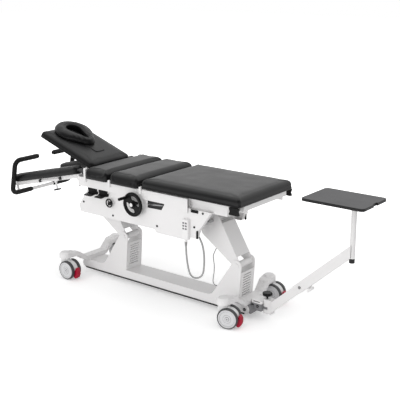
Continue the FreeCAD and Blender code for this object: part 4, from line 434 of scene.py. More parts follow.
castor_places = {"foot_near": (616.5, -239, 16), "foot_far": (616.5, 239, 6),
                 "head_near": (-683, -239, 2), "head_far": (-683, 239, 0)}
castor_trail = 38.0
wheel_centre_z = 62.5
tyre_colour = (0.060, 0.060, 0.063)
tyre_inner, tyre_outer = 0.0545, 0.1
disc_colour = (0.66, 0.66, 0.67)
ring_colour = (0.24, 0.24, 0.25)
ring_edges = ((0.0, 0.0042), (0.0112, 0.0134), (0.0238, 0.0252), (0.0440, 0.0450))
wheel_face = 0.039
cover_profile = [(0.0494, -0.0004), (0.0494, 0.0020), (0.0484, 0.0030), (0.0452, 0.0030),
                 (0.0436, 0.0016), (0.0262, 0.0010), (0.0240, 0.0022), (0.0170, 0.0027),
                 (0.0155, 0.0016), (0.0120, 0.0016), (0.0112, 0.0040), (0.0080, 0.0048),
                 (0.0030, 0.0050)]
pedal_outline = [(0.0735, 0.030), (0.0735, 0.052), (0.0890, 0.0665), (0.1005, 0.0700),
                 (0.1020, 0.0840), (0.1110, 0.0810), (0.1190, 0.0630), (0.1195, 0.0400),
                 (0.1110, 0.0190), (0.0990, 0.0100), (0.0880, 0.0120), (0.0800, 0.0260)]
pedal_half_width, pedal_edge = 0.0152, 0.0028
rib_levels = (0.044, 0.052, 0.060, 0.068)
rib_start, rib_end = 0.1165, 0.1203
rib_half_height, rib_half_width, rib_edge = 0.0014, 0.011, 0.0006
lengthwise, crosswise, upward = Vector((1, 0, 0)), Vector((0, 1, 0)), Vector((0, 0, 1))


def turned(mesh, spot, heading, profile, sides=40, socket=()):
    """Adds a turned form from pairs of radius and height along a heading. The rings that are
    listed as socket are six-sided."""
    side = heading.orthogonal().normalized()
    up = heading.cross(side)
    rings = []
    for index, (radius, along) in enumerate(profile):
        ring = []
        for step in range(sides):
            turn = 2 * math.pi * step / sides
            reach = radius
            if index in socket:
                reach /= math.cos((turn + math.pi / 6) % (math.pi / 3) - math.pi / 6)
            ring.append(mesh.verts.new(spot + along * heading
                                       + reach * (math.cos(turn) * side + math.sin(turn) * up)))
        rings.append(ring)
    closed_skin(mesh, rings)


def moulded_block(mesh, outline, along, across, up, origin, half, edge):
    """Adds an outline in the along-up plane, pulled out across it and rounded on its edges."""
    near, far = [[mesh.verts.new(origin + u * along + v * up + way * across) for u, v in outline]
                 for way in (-half, half)]
    made = closed_skin(mesh, [near, far])
    bmesh.ops.recalc_face_normals(mesh, faces=made)
    rims = list(dict.fromkeys(rim for face in made for rim in face.edges))
    bmesh.ops.bevel(mesh, geom=rims, offset=edge, segments=3, profile=0.7, affect="EDGES",
                    clamp_overlap=True)


def upright_block(outline, spot, half, edge):
    """One moulded block whose outline lies in the lengthwise upright plane."""
    mesh = bmesh.new()
    moulded_block(mesh, outline, lengthwise, crosswise, upward, spot, half, edge)
    return mesh


def fitted(piece, material, body):
    """Dresses a loose piece and lets it ride on its body."""
    dress(material, piece)
    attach(piece, body)


hood_white = finish("castor_hood_white", (0.80, 0.80, 0.80), 0.30, grain=0.0006)
# The pedal's edges are painted a lighter red: painted highlight.
pedal_red = finish("pedal_red", (0.42, 0.0, 0.026), 0.48, grain=0.0006,
                   edge_highlight_colour=(0.50, 0.02, 0.05))
for corner, (x, y, turn) in castor_places.items():
    angle = math.radians(turn)
    ahead = Vector((math.cos(angle), math.sin(angle), 0.0))
    axle = Vector((-math.sin(angle), math.cos(angle), 0.0))
    middle = place(x, y, wheel_centre_z) + ahead * castor_trail / 1000.0
    tyre = finish("tyre_and_disc_" + corner, disc_colour, 0.5, grain=0.0009, patch=0.05)
    second_colour(tyre, round_group, tyre_colour, Centre=middle, Axis=axle, Inner=tyre_inner,
                  Outer=tyre_outer)
    dress(tyre, "castor_wheels_" + corner)
    dress(hood_white, "castor_hood_" + corner)
    covers = bmesh.new()
    for way in (-1, 1):
        turned(covers, middle + way * wheel_face * axle, way * axle, cover_profile)
    cover = shown("wheel_covers_" + corner, covers, 30)
    disc_grey = finish("castor_disc_grey_" + corner, disc_colour, 0.34, grain=0.0007,
                       depth=0.00003, patch=0.04)
    for inner, outer in ring_edges:
        second_colour(disc_grey, round_group, ring_colour, Centre=middle, Axis=axle,
                      Inner=inner, Outer=outer)
    fitted(cover, disc_grey, "wheels_" + corner)
    blocks = bmesh.new()
    root = place(x, y, 0)
    moulded_block(blocks, pedal_outline, ahead, axle, upward, root, pedal_half_width, pedal_edge)
    for level in rib_levels:
        below, above = level - rib_half_height, level + rib_half_height
        rib = [(rib_start, below), (rib_end, below), (rib_end, above), (rib_start, above)]
        moulded_block(blocks, rib, ahead, axle, upward, root, rib_half_width, rib_edge)
    pedal = shown("brake_pedal_" + corner, blocks, 40)
    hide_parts("castor_pedal_" + corner)
    fitted(pedal, pedal_red, "pedal_" + corner)


# Black fittings: knobs, levers, handwheel, plugs and slotted blocks, moulded in glass-filled
# nylon. The clamp knobs of the arm rests have a painted highlight on top, a pale dot, and the
# handwheel a white cap.
nylon_black = (0.0055, 0.0055, 0.006)
nylon_index = 1.32
arm_hinge_x, arm_hinge_z, arm_slope = -540, 697, math.radians(13.5)
knob_along, knob_out, knob_highlight_radius = 237, 214, 0.0075
hub_spot = (-29, -295.8, 623)
hub_cap_profile = [(0.0118, 0.0), (0.0118, 0.0012), (0.0105, 0.0024), (0.0060, 0.0032),
                   (0.0015, 0.0034)]
# Its edges are painted a lighter black: painted highlight.
black_nylon = finish("black_nylon", nylon_black, 0.42, grain=0.0006,
                     edge_highlight_colour=(0.02, 0.02, 0.021), index=nylon_index)
dress(black_nylon, "panel_plugs_and_trim", "swivel_knob", "head_release_lever",
      "armrest_release_lever", "handwheel", "handwheel_grip", "ring_knob", "strap_cleats")
dress(white_moulding, "beam_clamp_knob")

for side, node in ((-1, "armrest_knob_near"), (1, "armrest_knob_far")):
    knob_with_highlight = finish(node + "_paint", nylon_black, 0.42, grain=0.0006, index=nylon_index)
    lift = Vector((-math.sin(arm_slope), 0.0, math.cos(arm_slope)))
    # Pale dot on the knob's top: painted highlight.
    second_colour(knob_with_highlight, round_group, (0.75, 0.75, 0.75), Axis=lift, Inner=0.0,
                  Centre=place(arm_hinge_x - knob_along * math.cos(arm_slope), side * knob_out,
                               arm_hinge_z - knob_along * math.sin(arm_slope)),
                  Outer=knob_highlight_radius)
    dress(knob_with_highlight, node)

hub_cap = bmesh.new()
turned(hub_cap, place(*hub_spot), -crosswise, hub_cap_profile)
fitted(shown("handwheel_hub_cap", hub_cap, 30), white_moulding, "wheel_drive")


# Head board: bent steel sheet, white coated, painted black on the ends of its cross plate, under
# the foot end of the head cushion. It hangs on two hinge lugs of the side rails.
strip_black = (0.010, 0.010, 0.011)
strip_inner, strip_outer = 186, 256
strip_start, strip_end, strip_low, strip_high = -520, -457.5, 722, 768
head_white = powder_coat("head_white_coat")
for way in (-1, 1):
    near, far = sorted((way * strip_inner, way * strip_outer))
    second_colour(head_white, block_group, strip_black,
                  Low=place(strip_start, near, strip_low),
                  High=place(strip_end, far, strip_high))
dress(head_white, "head_board")


# Behind the window in the near panel: a dark sheet, painted shade for the dim inside of the panel,
# and the plated rod of the drive, which swells where it runs in its sleeve.
shade_sheet_outline = [(0.037, 0.602), (0.187, 0.602), (0.197, 0.6595), (0.037, 0.6595)]
shade_sheet_y, shade_sheet_half_thickness, shade_sheet_edge = -221, 0.0012, 0.0005
rod_radii = [0.0030] + [0.0046] * 3 + [0.0060] * 5 + [0.0046] * 3 + [0.0030]
# Dark sheet: painted shade inside the panel.
shade_sheet_dark = finish("shade_sheet_dark", (0.045, 0.045, 0.047), 0.55, grain=0.001)
shade_sheet = upright_block(shade_sheet_outline, place(0, shade_sheet_y, 0), shade_sheet_half_thickness, shade_sheet_edge)
fitted(shown("window_shade_sheet", shade_sheet, 40), shade_sheet_dark, "deck")
rod_line = [place(42 + 12 * step, -228.5, 627 + 1.1 * step) for step in range(len(rod_radii))]
fitted(tube_along("window_rod", rod_line, rod_radii), zinc_steel, "deck")


# Arm rest frame: welded guides, white coated, with black nylon stop blocks that are screwed to
# the outer faces of the guides.
stop_black = (0.012, 0.012, 0.013)
stop_places, stop_depth = (170.5, 370.5), 14
stop_inner, stop_outer = 226.3, 240
stop_half_length, stop_half_height = 11, 13
armrest_white = powder_coat("armrest_white_coat")
for way in (-1, 1):
    for along in stop_places:
        x = arm_hinge_x - along * math.cos(arm_slope) - stop_depth * math.sin(arm_slope)
        z = arm_hinge_z - along * math.sin(arm_slope) + stop_depth * math.cos(arm_slope)
        near, far = sorted((way * stop_inner, way * stop_outer))
        second_colour(armrest_white, block_group, stop_black,
                      Low=place(x - stop_half_length, near, z - stop_half_height),
                      High=place(x + stop_half_length, far, z + stop_half_height))
dress(armrest_white, "armrest_frame")


# Hand control: handset in white ABS, clipped to the near panel, with six soft grey keys that
# stand a little proud of it, and a ribbed rubber boot where the lead leaves it.
handset_x, key_face_y, top_key_z, gland_y, gland_z = 356, -264, 575, -252, 461
key_column, key_row = 9.5, 17
key_outline = [(-0.0062, -0.0048), (0.0062, -0.0048), (0.0062, 0.0048), (-0.0062, 0.0048)]
key_half_height, key_edge = 0.0014, 0.0011
boot_ribs, boot_pitch, boot_groove = 10, 0.0026, 0.0011
boot_radius, boot_taper = 0.0086, 0.0002
dress(white_moulding, "hand_control")
soft_grey = finish("soft_grey", (0.16, 0.16, 0.17), 0.55, grain=0.0005)
keys = bmesh.new()
for row in range(3):
    for column in (-1, 1):
        spot = place(handset_x + column * key_column, key_face_y, top_key_z - row * key_row)
        moulded_block(keys, key_outline, lengthwise, crosswise, upward, spot, key_half_height,
                      key_edge)
fitted(shown("handset_keys", keys, 40), soft_grey, "deck")

boot = bmesh.new()
boot_profile = []
for step in range(boot_ribs):
    crest, down = boot_radius - boot_taper * step, boot_pitch * step
    boot_profile += [(crest, down), (crest, down + 0.0013),
                     (crest - boot_groove, down + 0.0015), (crest - boot_groove, down + 0.0024)]
turned(boot, place(handset_x, gland_y, gland_z), -upward, boot_profile)
fitted(shown("lead_boot", boot, 30), lead_grey, "deck")


# Stand bracket: grey casting, held by black socket screws. Screws of the same kind close the
# noses of the base plates, and one stops the upper beam on the lower one.
beam_foot_x, beam_foot_z, beam_slope, screw_along = 766, 56, math.radians(42.2), 300
bracket_seats = ((684, 38.2, 81, 0.0084, 0.0050), (719, 38.2, 81, 0.0084, 0.0050),
                 (651, 72.7, 54, 0.0095, 0.0048))
cast_grey = finish("cast_grey", (0.24, 0.24, 0.25), 0.50, grain=0.0012, depth=0.0001)
dress(cast_grey, "stand_bracket")


def socket_screws(name, body, spots):
    """Black socket screws: each spot gives its seat, heading, radius and head height."""
    mesh = bmesh.new()
    for seat, heading, radius, height in spots:
        turned(mesh, seat, heading,
               [(radius, 0.0), (radius, height * 0.82), (radius * 0.90, height),
                (radius * 0.58, height), (radius * 0.48, height * 0.96),
                (radius * 0.48, height * 0.35), (radius * 0.10, height * 0.30)],
               sides=48, socket=(4, 5))
    fitted(shown(name, mesh, 30), black_nylon, body)


socket_screws("bracket_screws", "base",
              [(place(x, way * side, z), way * crosswise, radius, height)
               for x, side, z, radius, height in bracket_seats for way in (-1, 1)])
socket_screws("upper_beam_screw", "beam",
              [(place(beam_foot_x + screw_along * math.cos(beam_slope), -23.7,
                      beam_foot_z + screw_along * math.sin(beam_slope)),
                -crosswise, 0.0075, 0.0052)])


# Slot in the cap of the bracket: a black nylon liner that the lock runs in, pressed into the
# near side of the cap.
liner_outline = [(0.690, 0.1058), (0.734, 0.1058), (0.734, 0.1102), (0.690, 0.1102)]
liner_y, liner_half_depth, liner_edge = -36.8, 0.0016, 0.0007
liner = upright_block(liner_outline, place(0, liner_y, 0), liner_half_depth, liner_edge)
fitted(shown("bracket_slot_liner", liner, 40), black_nylon, "base")


# Post: white coated steel tube, clamped in the end of the upper beam, with a black rubber tip
# pushed on below the beam.
tip_low, tip_high = (1268, -23, 460), (1314, 23, 491)
post_white = powder_coat("post_white_coat")
second_colour(post_white, block_group, (0.008, 0.008, 0.009), Low=place(*tip_low),
              High=place(*tip_high))
dress(post_white, "tray_post")


# Tray: laminate board on a flange, with dark grey faces and a black edge band that reaches
# up to the top face.
band_low, band_high = (1000, -400, 790), (1450, 400, 813.8)
tray_laminate = finish("tray_laminate", (0.028, 0.028, 0.031), 0.44, grain=0.0007,
                       depth=0.00005)
second_colour(tray_laminate, block_group, (0.004, 0.004, 0.0045), Low=place(*band_low),
              High=place(*band_high))
dress(tray_laminate, "tray")


# Cushions: moulded foam on a board, covered with black vinyl that is pulled round the edges.
# The cover swells a little, is tightest in the middle of each side and gathers at the corners.
dimples_per_pebble, dimple_share = 2.5, 0.4
soft_patches_per_metre, soft_patch_detail = 9.0, 3.0


def vinyl_grain():
    """Pebbled vinyl: small cells, finer dimples and broad soft patches."""
    tree, start, end = shader_group(
        "vinyl_grain", [("Pebble size", "NodeSocketFloat", 0.0016)],
        [("Height", "NodeSocketFloat"), ("Patches", "NodeSocketFloat")])
    where = own_space(tree)
    scale = math_node(tree, "DIVIDE", 1.0, start.outputs["Pebble size"])
    pebbles = tree.nodes.new("ShaderNodeTexVoronoi")
    pebbles.feature = "SMOOTH_F1"
    tree.links.new(where, pebbles.inputs["Vector"])
    tree.links.new(scale, pebbles.inputs["Scale"])
    dimples = clouds(tree, math_node(tree, "MULTIPLY", scale, dimples_per_pebble), grain_detail)
    height = math_node(tree, "ADD", pebbles.outputs["Distance"],
                       math_node(tree, "MULTIPLY", dimples, dimple_share))
    tree.links.new(height, end.inputs["Height"])
    tree.links.new(clouds(tree, soft_patches_per_metre, soft_patch_detail),
                   end.inputs["Patches"])
    return tree


vinyl_group = vinyl_grain()


def vinyl(name, colour, roughness, pebble, depth):
    """Material of a soft skin: pebbled, with soft patches of tone and gloss."""
    material = bpy.data.materials.new(name)
    material.use_nodes = True
    tree = material.node_tree
    shader = tree.nodes["Principled BSDF"]
    grain = tree.nodes.new("ShaderNodeGroup")
    grain.node_tree = vinyl_group
    grain.inputs["Pebble size"].default_value = pebble
    toned = mixed(tree, grain.outputs["Patches"], shade(colour, 0.85), shade(colour, 1.15))
    tree.links.new(toned, shader.inputs["Base Color"])
    surfaced(tree, grain.outputs["Patches"], grain.outputs["Height"], roughness, 0.05, depth)
    shader.inputs["IOR"].default_value = 1.45
    return material


black_vinyl = vinyl("black_vinyl", (0.0075, 0.0075, 0.008), 0.36, 0.0016, 0.00010)
head_vinyl = vinyl("head_vinyl", (0.0060, 0.0060, 0.0065), 0.44, 0.0016, 0.00010)


corner_steps, under_steps, over_steps = 6, 3, 8
least_corner = 0.0006


def outline_points(corners, inset):
    """Points round a convex outline of (x, y, radius) corners that is drawn in by an inset."""
    points = []
    count = len(corners)
    for index in range(count):
        here = Vector(corners[index][:2])
        before = (Vector(corners[index - 1][:2]) - here).normalized()
        after = (Vector(corners[(index + 1) % count][:2]) - here).normalized()
        inward = (before + after).normalized()
        half = before.angle(after) / 2
        radius = max(corners[index][2] - inset, least_corner)
        centre = here + inward * (inset + radius) / math.sin(half)
        start = math.atan2(-inward.y, -inward.x)
        spread = math.pi / 2 - half
        turn_way = 1 if before.cross(after) < 0 else -1
        for step in range(corner_steps + 1):
            turn = start + turn_way * spread * (2 * step / corner_steps - 1)
            points.append(centre + radius * Vector((math.cos(turn), math.sin(turn))))
    return points


def pad_mesh(parts):
    """Closed rounded pads: each part has an outline, levels, and radii over and under its edge."""
    mesh = bmesh.new()
    for corners, low, high, over, under in parts:
        profile = [(under, low)]
        for step in range(1, under_steps + 1):
            turn = math.pi / 2 * step / under_steps
            profile.append((under * (1 - math.sin(turn)), low + under * (1 - math.cos(turn))))
        for step in range(over_steps + 1):
            turn = math.pi / 2 * step / over_steps
            profile.append((over * (1 - math.cos(turn)), high - over * (1 - math.sin(turn))))
        closed_skin(mesh, [[mesh.verts.new((p.x, p.y, level))
                            for p in outline_points(corners, inset)] for inset, level in profile])
    return mesh


cover_pressure = 4.0
cover_quality = 4
cover_frames = 20


def stuffed(name, form, seat, voxel, shrink, cap, board, soften):
    """Swells a pad with cloth simulation: the board side stays flat and the rest moves out by
    no more than the cap. It is then softened, and tilted into its seat."""
    piece = shown(name, form)
    remesh = piece.modifiers.new("remesh", "REMESH")
    remesh.mode = "VOXEL"
    remesh.voxel_size = voxel
    fit_mesh(piece)
    vertices = piece.data.vertices
    normals = [vertex.normal.copy() for vertex in vertices]
    for vertex, normal in zip(vertices, normals):
        vertex.co -= normal * shrink
    start = [vertex.co.copy() for vertex in vertices]
    held = piece.vertex_groups.new(name="board")
    held.add([index for index, spot in enumerate(start) if spot.z < board], 1.0, "REPLACE")
    cloth = piece.modifiers.new("cover", "CLOTH")
    cloth.settings.use_pressure = True
    cloth.settings.uniform_pressure_force = cover_pressure
    cloth.settings.effector_weights.gravity = 0.0
    cloth.settings.vertex_group_mass = "board"
    cloth.settings.quality = cover_quality
    cloth.collision_settings.use_collision = False
    for number in range(1, cover_frames + 1):
        scene.frame_set(number)
    fit_mesh(piece)
    scene.frame_set(1)
    for vertex, rest in zip(piece.data.vertices, start):
        moved = vertex.co - rest
        if moved.length > cap:
            vertex.co = rest + moved.normalized() * cap
    for vertex in piece.data.vertices:
        vertex.co = seat @ soften(vertex.co.copy())
    piece.modifiers.new("soft", "SUBSURF").levels = 1
    fit_mesh(piece)
    return piece


def fit_mesh(piece):
    """Makes what the modifiers give the piece's own mesh."""
    bpy.context.view_layer.update()
    graph = bpy.context.evaluated_depsgraph_get()
    old = piece.data
    piece.data = bpy.data.meshes.new_from_object(piece.evaluated_get(graph))
    piece.modifiers.clear()
    bpy.data.meshes.remove(old)


def upholstered(piece, node, body, material):
    """Finishes a simulated cushion: smooth cover, hidden CAD part, material and ride."""
    smooth(piece.data)
    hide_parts(node)
    fitted(piece, material, body)


pucker_pitch, pucker_height = 420.0, 0.0006
creep_along, creep_across, creep_up, creep_height = 14, 14, 30, 0.0009


def pulled_cover(low, high, bottom, top, crown, waist, seed):
    """Crowns a pad, draws its sides in between the corners and puckers the cover near them."""
    middle = (low + high) / 2
    half = (high - low) / 2

    def soften(spot):
        s = max(-1.0, min(1.0, (spot.x - middle.x) / half.x))
        t = max(-1.0, min(1.0, (spot.y - middle.y) / half.y))
        rise = max(0.0, min(1.0, (spot.z - bottom) / (top - bottom)))
        side = Vector((s ** 7, t ** 7, 0.0))
        spot.x -= waist * side.x * (1 - t * t) * rise
        spot.y -= waist * side.y * (1 - s * s) * rise
        spot.z += crown * (1 - s ** 4) * (1 - t ** 4) * rise
        corner = (abs(s) * abs(t)) ** 6
        along = spot.x + spot.y if s * t < 0 else spot.x - spot.y
        pucker = math.sin(along * pucker_pitch + seed) * corner * rise
        creep = noise.noise(Vector((spot.x * creep_along + seed, spot.y * creep_across,
                                    spot.z * creep_up))) * creep_height
        spot.z += (pucker * pucker_height + creep) * rise
        return spot
    return soften


cushion_under, cushion_voxel, cushion_shrink, cushion_swell = 0.004, 0.006, 0.002, 0.004
board_height = 0.009
cushion_half, cushion_top = 0.277, 0.788


def cushion(name, node, body, material, seat, box, corner_radii, over, crown, waist, seed):
    """One cushion, laid out level: its box runs from the head end to the foot end, from minus
    to plus its half width and from its board to its top."""
    head_end, foot_end, half_width, bottom, top = box
    head_corner, foot_corner = corner_radii
    corners = [(head_end, -half_width, head_corner), (foot_end, -half_width, foot_corner),
               (foot_end, half_width, foot_corner), (head_end, half_width, head_corner)]
    form = pad_mesh([(corners, bottom, top, over, cushion_under)])
    soften = pulled_cover(Vector((head_end, -half_width, 0)), Vector((foot_end, half_width, 0)),
                          bottom, top, crown, waist, seed)
    piece = stuffed(name, form, seat, cushion_voxel, cushion_shrink, cushion_swell,
                    bottom + board_height, soften)
    upholstered(piece, node, body, material)


flat = Matrix.Translation(place(0, 0, 0))
for name, node, body, head_end, foot_end, bottom in (
        ("thoracic_cushion", "cushion_thoracic", "deck", -0.440, -0.251, 0.718),
        ("lumbar_cushion", "cushion_lumbar", "deck", -0.231, 0.002, 0.718),
        ("pelvic_cushion", "cushion_pelvic", "carriage", 0.026, 0.749, 0.728)):
    cushion(name, node, body, black_vinyl, flat,
            (head_end, foot_end, cushion_half, bottom, cushion_top), (0.020, 0.020), 0.030,
            0.004, 0.003, head_end * 40)

# The head section and the arm rests are laid out level from their hinge lines, then tilted.
head_seat = Matrix.Translation(place(-449, 0, 775)) @ Matrix.Rotation(math.radians(18.8), 4, "Y")
arm_seat = (Matrix.Translation(place(arm_hinge_x, 0, arm_hinge_z))
            @ Matrix.Rotation(-arm_slope, 4, "Y"))
cushion("head_cushion", "cushion_head", "head", head_vinyl, head_seat,
        (-0.521, -0.009, 0.186, -0.031, 0.015), (0.030, 0.034), 0.026, 0.003, 0.002, 3.0)


# Face pillow: a ring of foam like a horseshoe with its ends together. Its cover is sewn round
# the hole, flares at the base and is held on the head cushion by a tab.
belt_steps, ring_steps = 72, 16
pillow_middle, pillow_half_height = 0.0402, 0.0250
outer_power, upper_power, flare_power = 0.8, 0.75, 0.8
outer_flare, inner_flare, lean_in = 0.30, -0.12, 0.30
fold_middle, fold_reach, fold_pitch, fold_height = 0.27, 0.09, 300, 0.0012
cover_creep, cover_creep_height = 26, 0.0016


def belt_outline(one, other):
    """Outline round two discs and their common tangents, as points by heading."""
    lean = math.asin((one[1] - other[1]) / abs(one[0] - other[0]))
    points = []
    for step in range(belt_steps):
        turn = 2 * math.pi * (step + 0.5) / belt_steps
        heading = Vector((math.cos(turn), math.sin(turn)))
        disc = one if abs(math.atan2(heading.y, -heading.x)) < math.pi / 2 + lean else other
        points.append(Vector((disc[0], 0)) + heading * disc[1])
    return points


pillow = bmesh.new()
outer_outline = belt_outline((-0.389, 0.129), (-0.260, 0.053))
inner_outline = belt_outline((-0.396, 0.052), (-0.264, 0.011))
rings = []
for outer, inner in zip(outer_outline, inner_outline):
    centre = (outer + inner) / 2
    reach = (outer - inner) / 2
    ring = []
    for step in range(ring_steps):
        turn = 2 * math.pi * step / ring_steps
        out = math.copysign(abs(math.cos(turn)) ** outer_power, math.cos(turn))
        rise = math.copysign(abs(math.sin(turn)) ** upper_power, math.sin(turn))
        flare = outer_flare if out > 0 else inner_flare
        out *= 1.0 + flare * max(0.0, -rise) ** flare_power
        out -= lean_in * max(0.0, rise)
        ring.append(pillow.verts.new((centre.x + reach.x * out, centre.y + reach.y * out,
                                      pillow_middle + pillow_half_height * rise)))
    rings.append(ring)
skinned(pillow, rings + [rings[0]])


def creased(spot):
    """Small folds of the pillow's cover, gathered towards the foot end of the hole."""
    close = max(0.0, 1 - abs(spot.x + fold_middle) / fold_reach)
    spot.z += fold_height * math.sin(spot.y * fold_pitch) * close
    spot.z += noise.noise(spot * cover_creep) * cover_creep_height
    return spot


piece = stuffed("face_pillow_cover", pillow, head_seat, 0.005, 0.0015, 0.004, 0.020, creased)
upholstered(piece, "face_pillow", "head", head_vinyl)
pillow_cover = BVHTree.FromPolygons([vertex.co.copy() for vertex in piece.data.vertices],
                                    [tuple(face.vertices) for face in piece.data.polygons])

tab = pad_mesh([([(-0.250, -0.042, 0.006), (-0.123, -0.042, 0.012), (-0.123, 0.042, 0.012),
                  (-0.250, 0.042, 0.006)], 0.0175, 0.0232, 0.0028, 0.0006)])
tab = shown("pillow_tab", tab)
tab.data.transform(head_seat)
smooth(tab.data)
fitted(tab, head_vinyl, "head")


# Arm pads: two long foam pads on boards, in the same vinyl as the deck, screwed on top of the
# guides. They are crowned across and crease softly along their length.
pad_inner, pad_outer, pad_bottom, pad_top = 0.171, 0.251, 0.027, 0.079
pad_crown, pad_creep, pad_half = 0.0025, 0.0012, 0.040
pad_parts = []
for way in (-1, 1):
    near, far = sorted((way * pad_inner, way * pad_outer))
    pad_parts.append(([(-0.628, near, 0.026), (0.012, near, 0.026), (0.012, far, 0.026),
                       (-0.628, far, 0.026)], pad_bottom, pad_top, 0.020, 0.003))


def arm_soften(spot):
    """Slight crown over the pad's length and soft creases in the cover."""
    rise = max(0.0, min(1.0, (spot.z - pad_bottom) / (pad_top - pad_bottom)))
    across = (abs(spot.y) - (pad_inner + pad_outer) / 2) / pad_half
    spot.z += pad_crown * (1 - min(1.0, across * across)) * rise
    spot.z += noise.noise(Vector((spot.x * 30, spot.y * 18, 0))) * pad_creep * rise
    return spot


piece = stuffed("arm_pad_covers", pad_mesh(pad_parts), arm_seat, 0.005, 0.0015, 0.003, 0.034,
                arm_soften)
upholstered(piece, "arm_pads", "armrest", black_vinyl)


# Stitching: vinyl piping round the hole of the face pillow, laid on its cover, and black
# polyester thread along the edge of its tab.
piping_share, piping_radius, piping_proud = 0.20, 0.0014, 0.0004
stitch_pitch, stitch_half_length, stitch_level = 0.006, 0.0019, 0.0233
stitch_profile = [(0.0002, 0.0), (0.0006, 0.0006), (0.0006, 0.0032), (0.0002, 0.0038)]
thread = finish("thread", (0.012, 0.012, 0.012), 0.6, grain=0.0003)
head_rise = (head_seat.to_3x3() @ upward).normalized()
piping = []
for outer, inner in zip(outer_outline, inner_outline):
    spot = inner * (1 - piping_share) + outer * piping_share
    above = head_seat @ Vector((spot.x, spot.y, 0.12))
    landed = pillow_cover.ray_cast(above, -head_rise)[0]
    piping.append(landed + head_rise * piping_proud)
piping.append(piping[0])
fitted(tube_along("pillow_piping", piping, [piping_radius] * len(piping), sides=8), head_vinyl,
       "head")
stitches = bmesh.new()
for start, end in (((-0.225, -0.036), (-0.130, -0.036)), ((-0.129, -0.034), (-0.129, 0.034)),
                   ((-0.130, 0.036), (-0.225, 0.036))):
    first, last = Vector(start), Vector(end)
    count = int((last - first).length / stitch_pitch)
    along = (last - first).normalized() * stitch_half_length
    for index in range(count):
        middle = first.lerp(last, (index + 0.5) / count)
        ends = [head_seat @ Vector((middle.x + way * along.x, middle.y + way * along.y,
                                    stitch_level)) for way in (-1, 1)]
        turned(stitches, ends[0], (ends[1] - ends[0]).normalized(), stitch_profile, sides=6)
fitted(shown("tab_stitches", stitches, 60), thread, "head")


# Foam sleeves on the handlebar: closed-cell black foam with rounded ends, pushed on over the
# bends. Their thickness wanders a little along the bar.
bar_bend, ring_spacing, bend_steps = 0.042, 0.006, 14
sleeve_radius, sleeve_wander, wander_pitch = 0.0166, 0.00035, 55
foam = vinyl("black_foam", (0.006, 0.006, 0.006), 0.70, 0.0011, 0.0002)


def bent_line(points, bend, spacing):
    """Evenly spaced points along straight runs joined by round bends."""
    line = [points[0]]
    for before, here, after in zip(points, points[1:], points[2:]):
        inward, outward_run = (before - here).normalized(), (after - here).normalized()
        half = inward.angle(outward_run) / 2
        first = here + inward * bend / math.tan(half)
        last = here + outward_run * bend / math.tan(half)
        centre = here + (inward + outward_run).normalized() * bend / math.sin(half)
        while (first - line[-1]).length > 1.5 * spacing:
            line.append(line[-1] + (first - line[-1]).normalized() * spacing)
        for step in range(bend_steps + 1):
            share = step / bend_steps
            way_out = (first - centre) * (1 - share) + (last - centre) * share
            line.append(centre + way_out.normalized() * bend)
    while (points[-1] - line[-1]).length > 1.5 * spacing:
        line.append(line[-1] + (points[-1] - line[-1]).normalized() * spacing)
    return line + [points[-1]]


for way, side_name in ((-1, "near"), (1, "far")):
    route = [place(-1101, way * 67, 740), place(-1101, way * 269, 740),
             place(-1150, way * 269, 505), place(-1150, way * 96, 505)]
    line = bent_line(route, bar_bend, ring_spacing)
    radii = []
    for index, spot in enumerate(line):
        close = min(index, len(line) - 1 - index)
        swell = sleeve_radius + sleeve_wander * noise.noise(spot * wander_pitch)
        radii.append(swell * min(1.0, 0.80 + 0.10 * close))
    sleeve = tube_along("foam_sleeve_" + side_name, line, radii, sides=24)
    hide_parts("hand_grips")
    fitted(sleeve, foam, "handle")


# Studio: a pale floor that turns white away from the table, a wide soft box overhead, a fill
# from the near side, and air that glossy surfaces see bright behind the table and dim in front.
floor_half_width = 30.0
floor_tone = 0.92
floor_glow = (("From Min", 0.9), ("From Max", 2.4), ("To Min", 0.32), ("To Max", 0.95))
air_shift = (("From Min", -0.20), ("From Max", 0.45), ("To Min", 0.05), ("To Max", 1.0))
bright_side = (-0.55, 0.70, 0.45)
diffuse_air = 0.76
white = (1, 1, 1, 1)


def smooth_step(tree, value, ends):
    """Value led from one range to another with soft ends."""
    node = tree.nodes.new("ShaderNodeMapRange")
    node.interpolation_type = "SMOOTHSTEP"
    tree.links.new(value, node.inputs["Value"])
    for label, end in ends:
        node.inputs[label].default_value = end
    return node.outputs["Result"]


def seen_direct(tree, path):
    """Mask of what the camera sees, also through clear pieces."""
    return math_node(tree, "MAXIMUM", path.outputs["Is Camera Ray"],
                     path.outputs["Is Transmission Ray"])


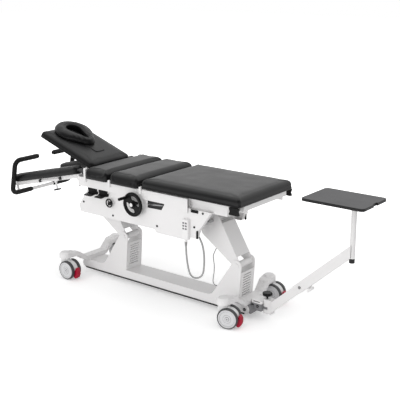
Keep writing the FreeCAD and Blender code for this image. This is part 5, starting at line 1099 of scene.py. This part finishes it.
floor_mesh = bmesh.new()
bmesh.ops.create_grid(floor_mesh, x_segments=1, y_segments=1, size=floor_half_width)
floor = shown("studio_floor", floor_mesh)
floor.location.z = -0.0005
floor_paint = bpy.data.materials.new("floor_paint")
floor_paint.use_nodes = True
tree = floor_paint.node_tree
tree.nodes.clear()
floor_output = tree.nodes.new("ShaderNodeOutputMaterial")
matt = tree.nodes.new("ShaderNodeBsdfDiffuse")
matt.inputs["Color"].default_value = (floor_tone, floor_tone, floor_tone, 1)
glow = tree.nodes.new("ShaderNodeEmission")
glow.inputs["Color"].default_value = white
path = tree.nodes.new("ShaderNodeLightPath")
where = own_space(tree)
fade = smooth_step(tree, vector_node(tree, "LENGTH", where)["Value"], floor_glow)
tree.links.new(math_node(tree, "MULTIPLY", seen_direct(tree, path), fade),
               glow.inputs["Strength"])
both = tree.nodes.new("ShaderNodeAddShader")
tree.links.new(matt.outputs[0], both.inputs[0])
tree.links.new(glow.outputs[0], both.inputs[1])
tree.links.new(both.outputs[0], floor_output.inputs["Surface"])
dress(floor_paint, floor)

world = bpy.data.worlds.new("studio_air")
scene.world = world
world.use_nodes = True
tree = world.node_tree
background = tree.nodes["Background"]
background.inputs["Color"].default_value = white
path = tree.nodes.new("ShaderNodeLightPath")
heading = tree.nodes.new("ShaderNodeTexCoord").outputs["Generated"]
behind = vector_node(tree, "DOT_PRODUCT", heading, bright_side)["Value"]
mirrored = smooth_step(tree, behind, air_shift)


def chosen(tree, mask, hit, miss):
    """Value of hit where the mask is one and of miss where it is nought."""
    node = tree.nodes.new("ShaderNodeMix")
    for index, value in ((0, mask), (2, miss), (3, hit)):
        feed(tree, node.inputs[index], value)
    return node.outputs[0]


strength = chosen(tree, path.outputs["Is Glossy Ray"], mirrored, diffuse_air)
tree.links.new(chosen(tree, seen_direct(tree, path), 1.0, strength),
               background.inputs["Strength"])


def soft_box(name, spot, aim, size, power, mirrored_too=True):
    """Square area lamp that faces its aim."""
    lamp = bpy.data.lights.new(name, "AREA")
    lamp.shape = "SQUARE"
    lamp.size = size
    lamp.energy = power
    box = bpy.data.objects.new(name, lamp)
    box.location = spot
    box.visible_glossy = mirrored_too
    box.rotation_euler = (Vector(aim) - Vector(spot)).to_track_quat("-Z", "Y").to_euler()
    scene.collection.objects.link(box)


soft_box("overhead_box", (0.0, 0.6, 4.2), (0, 0, 0.4), 4.5, 26)
soft_box("near_fill", (0.4, -4.8, 1.2), (0.0, 0, 0.4), 3.2, 80, mirrored_too=False)

scene.view_settings.view_transform = "Standard"
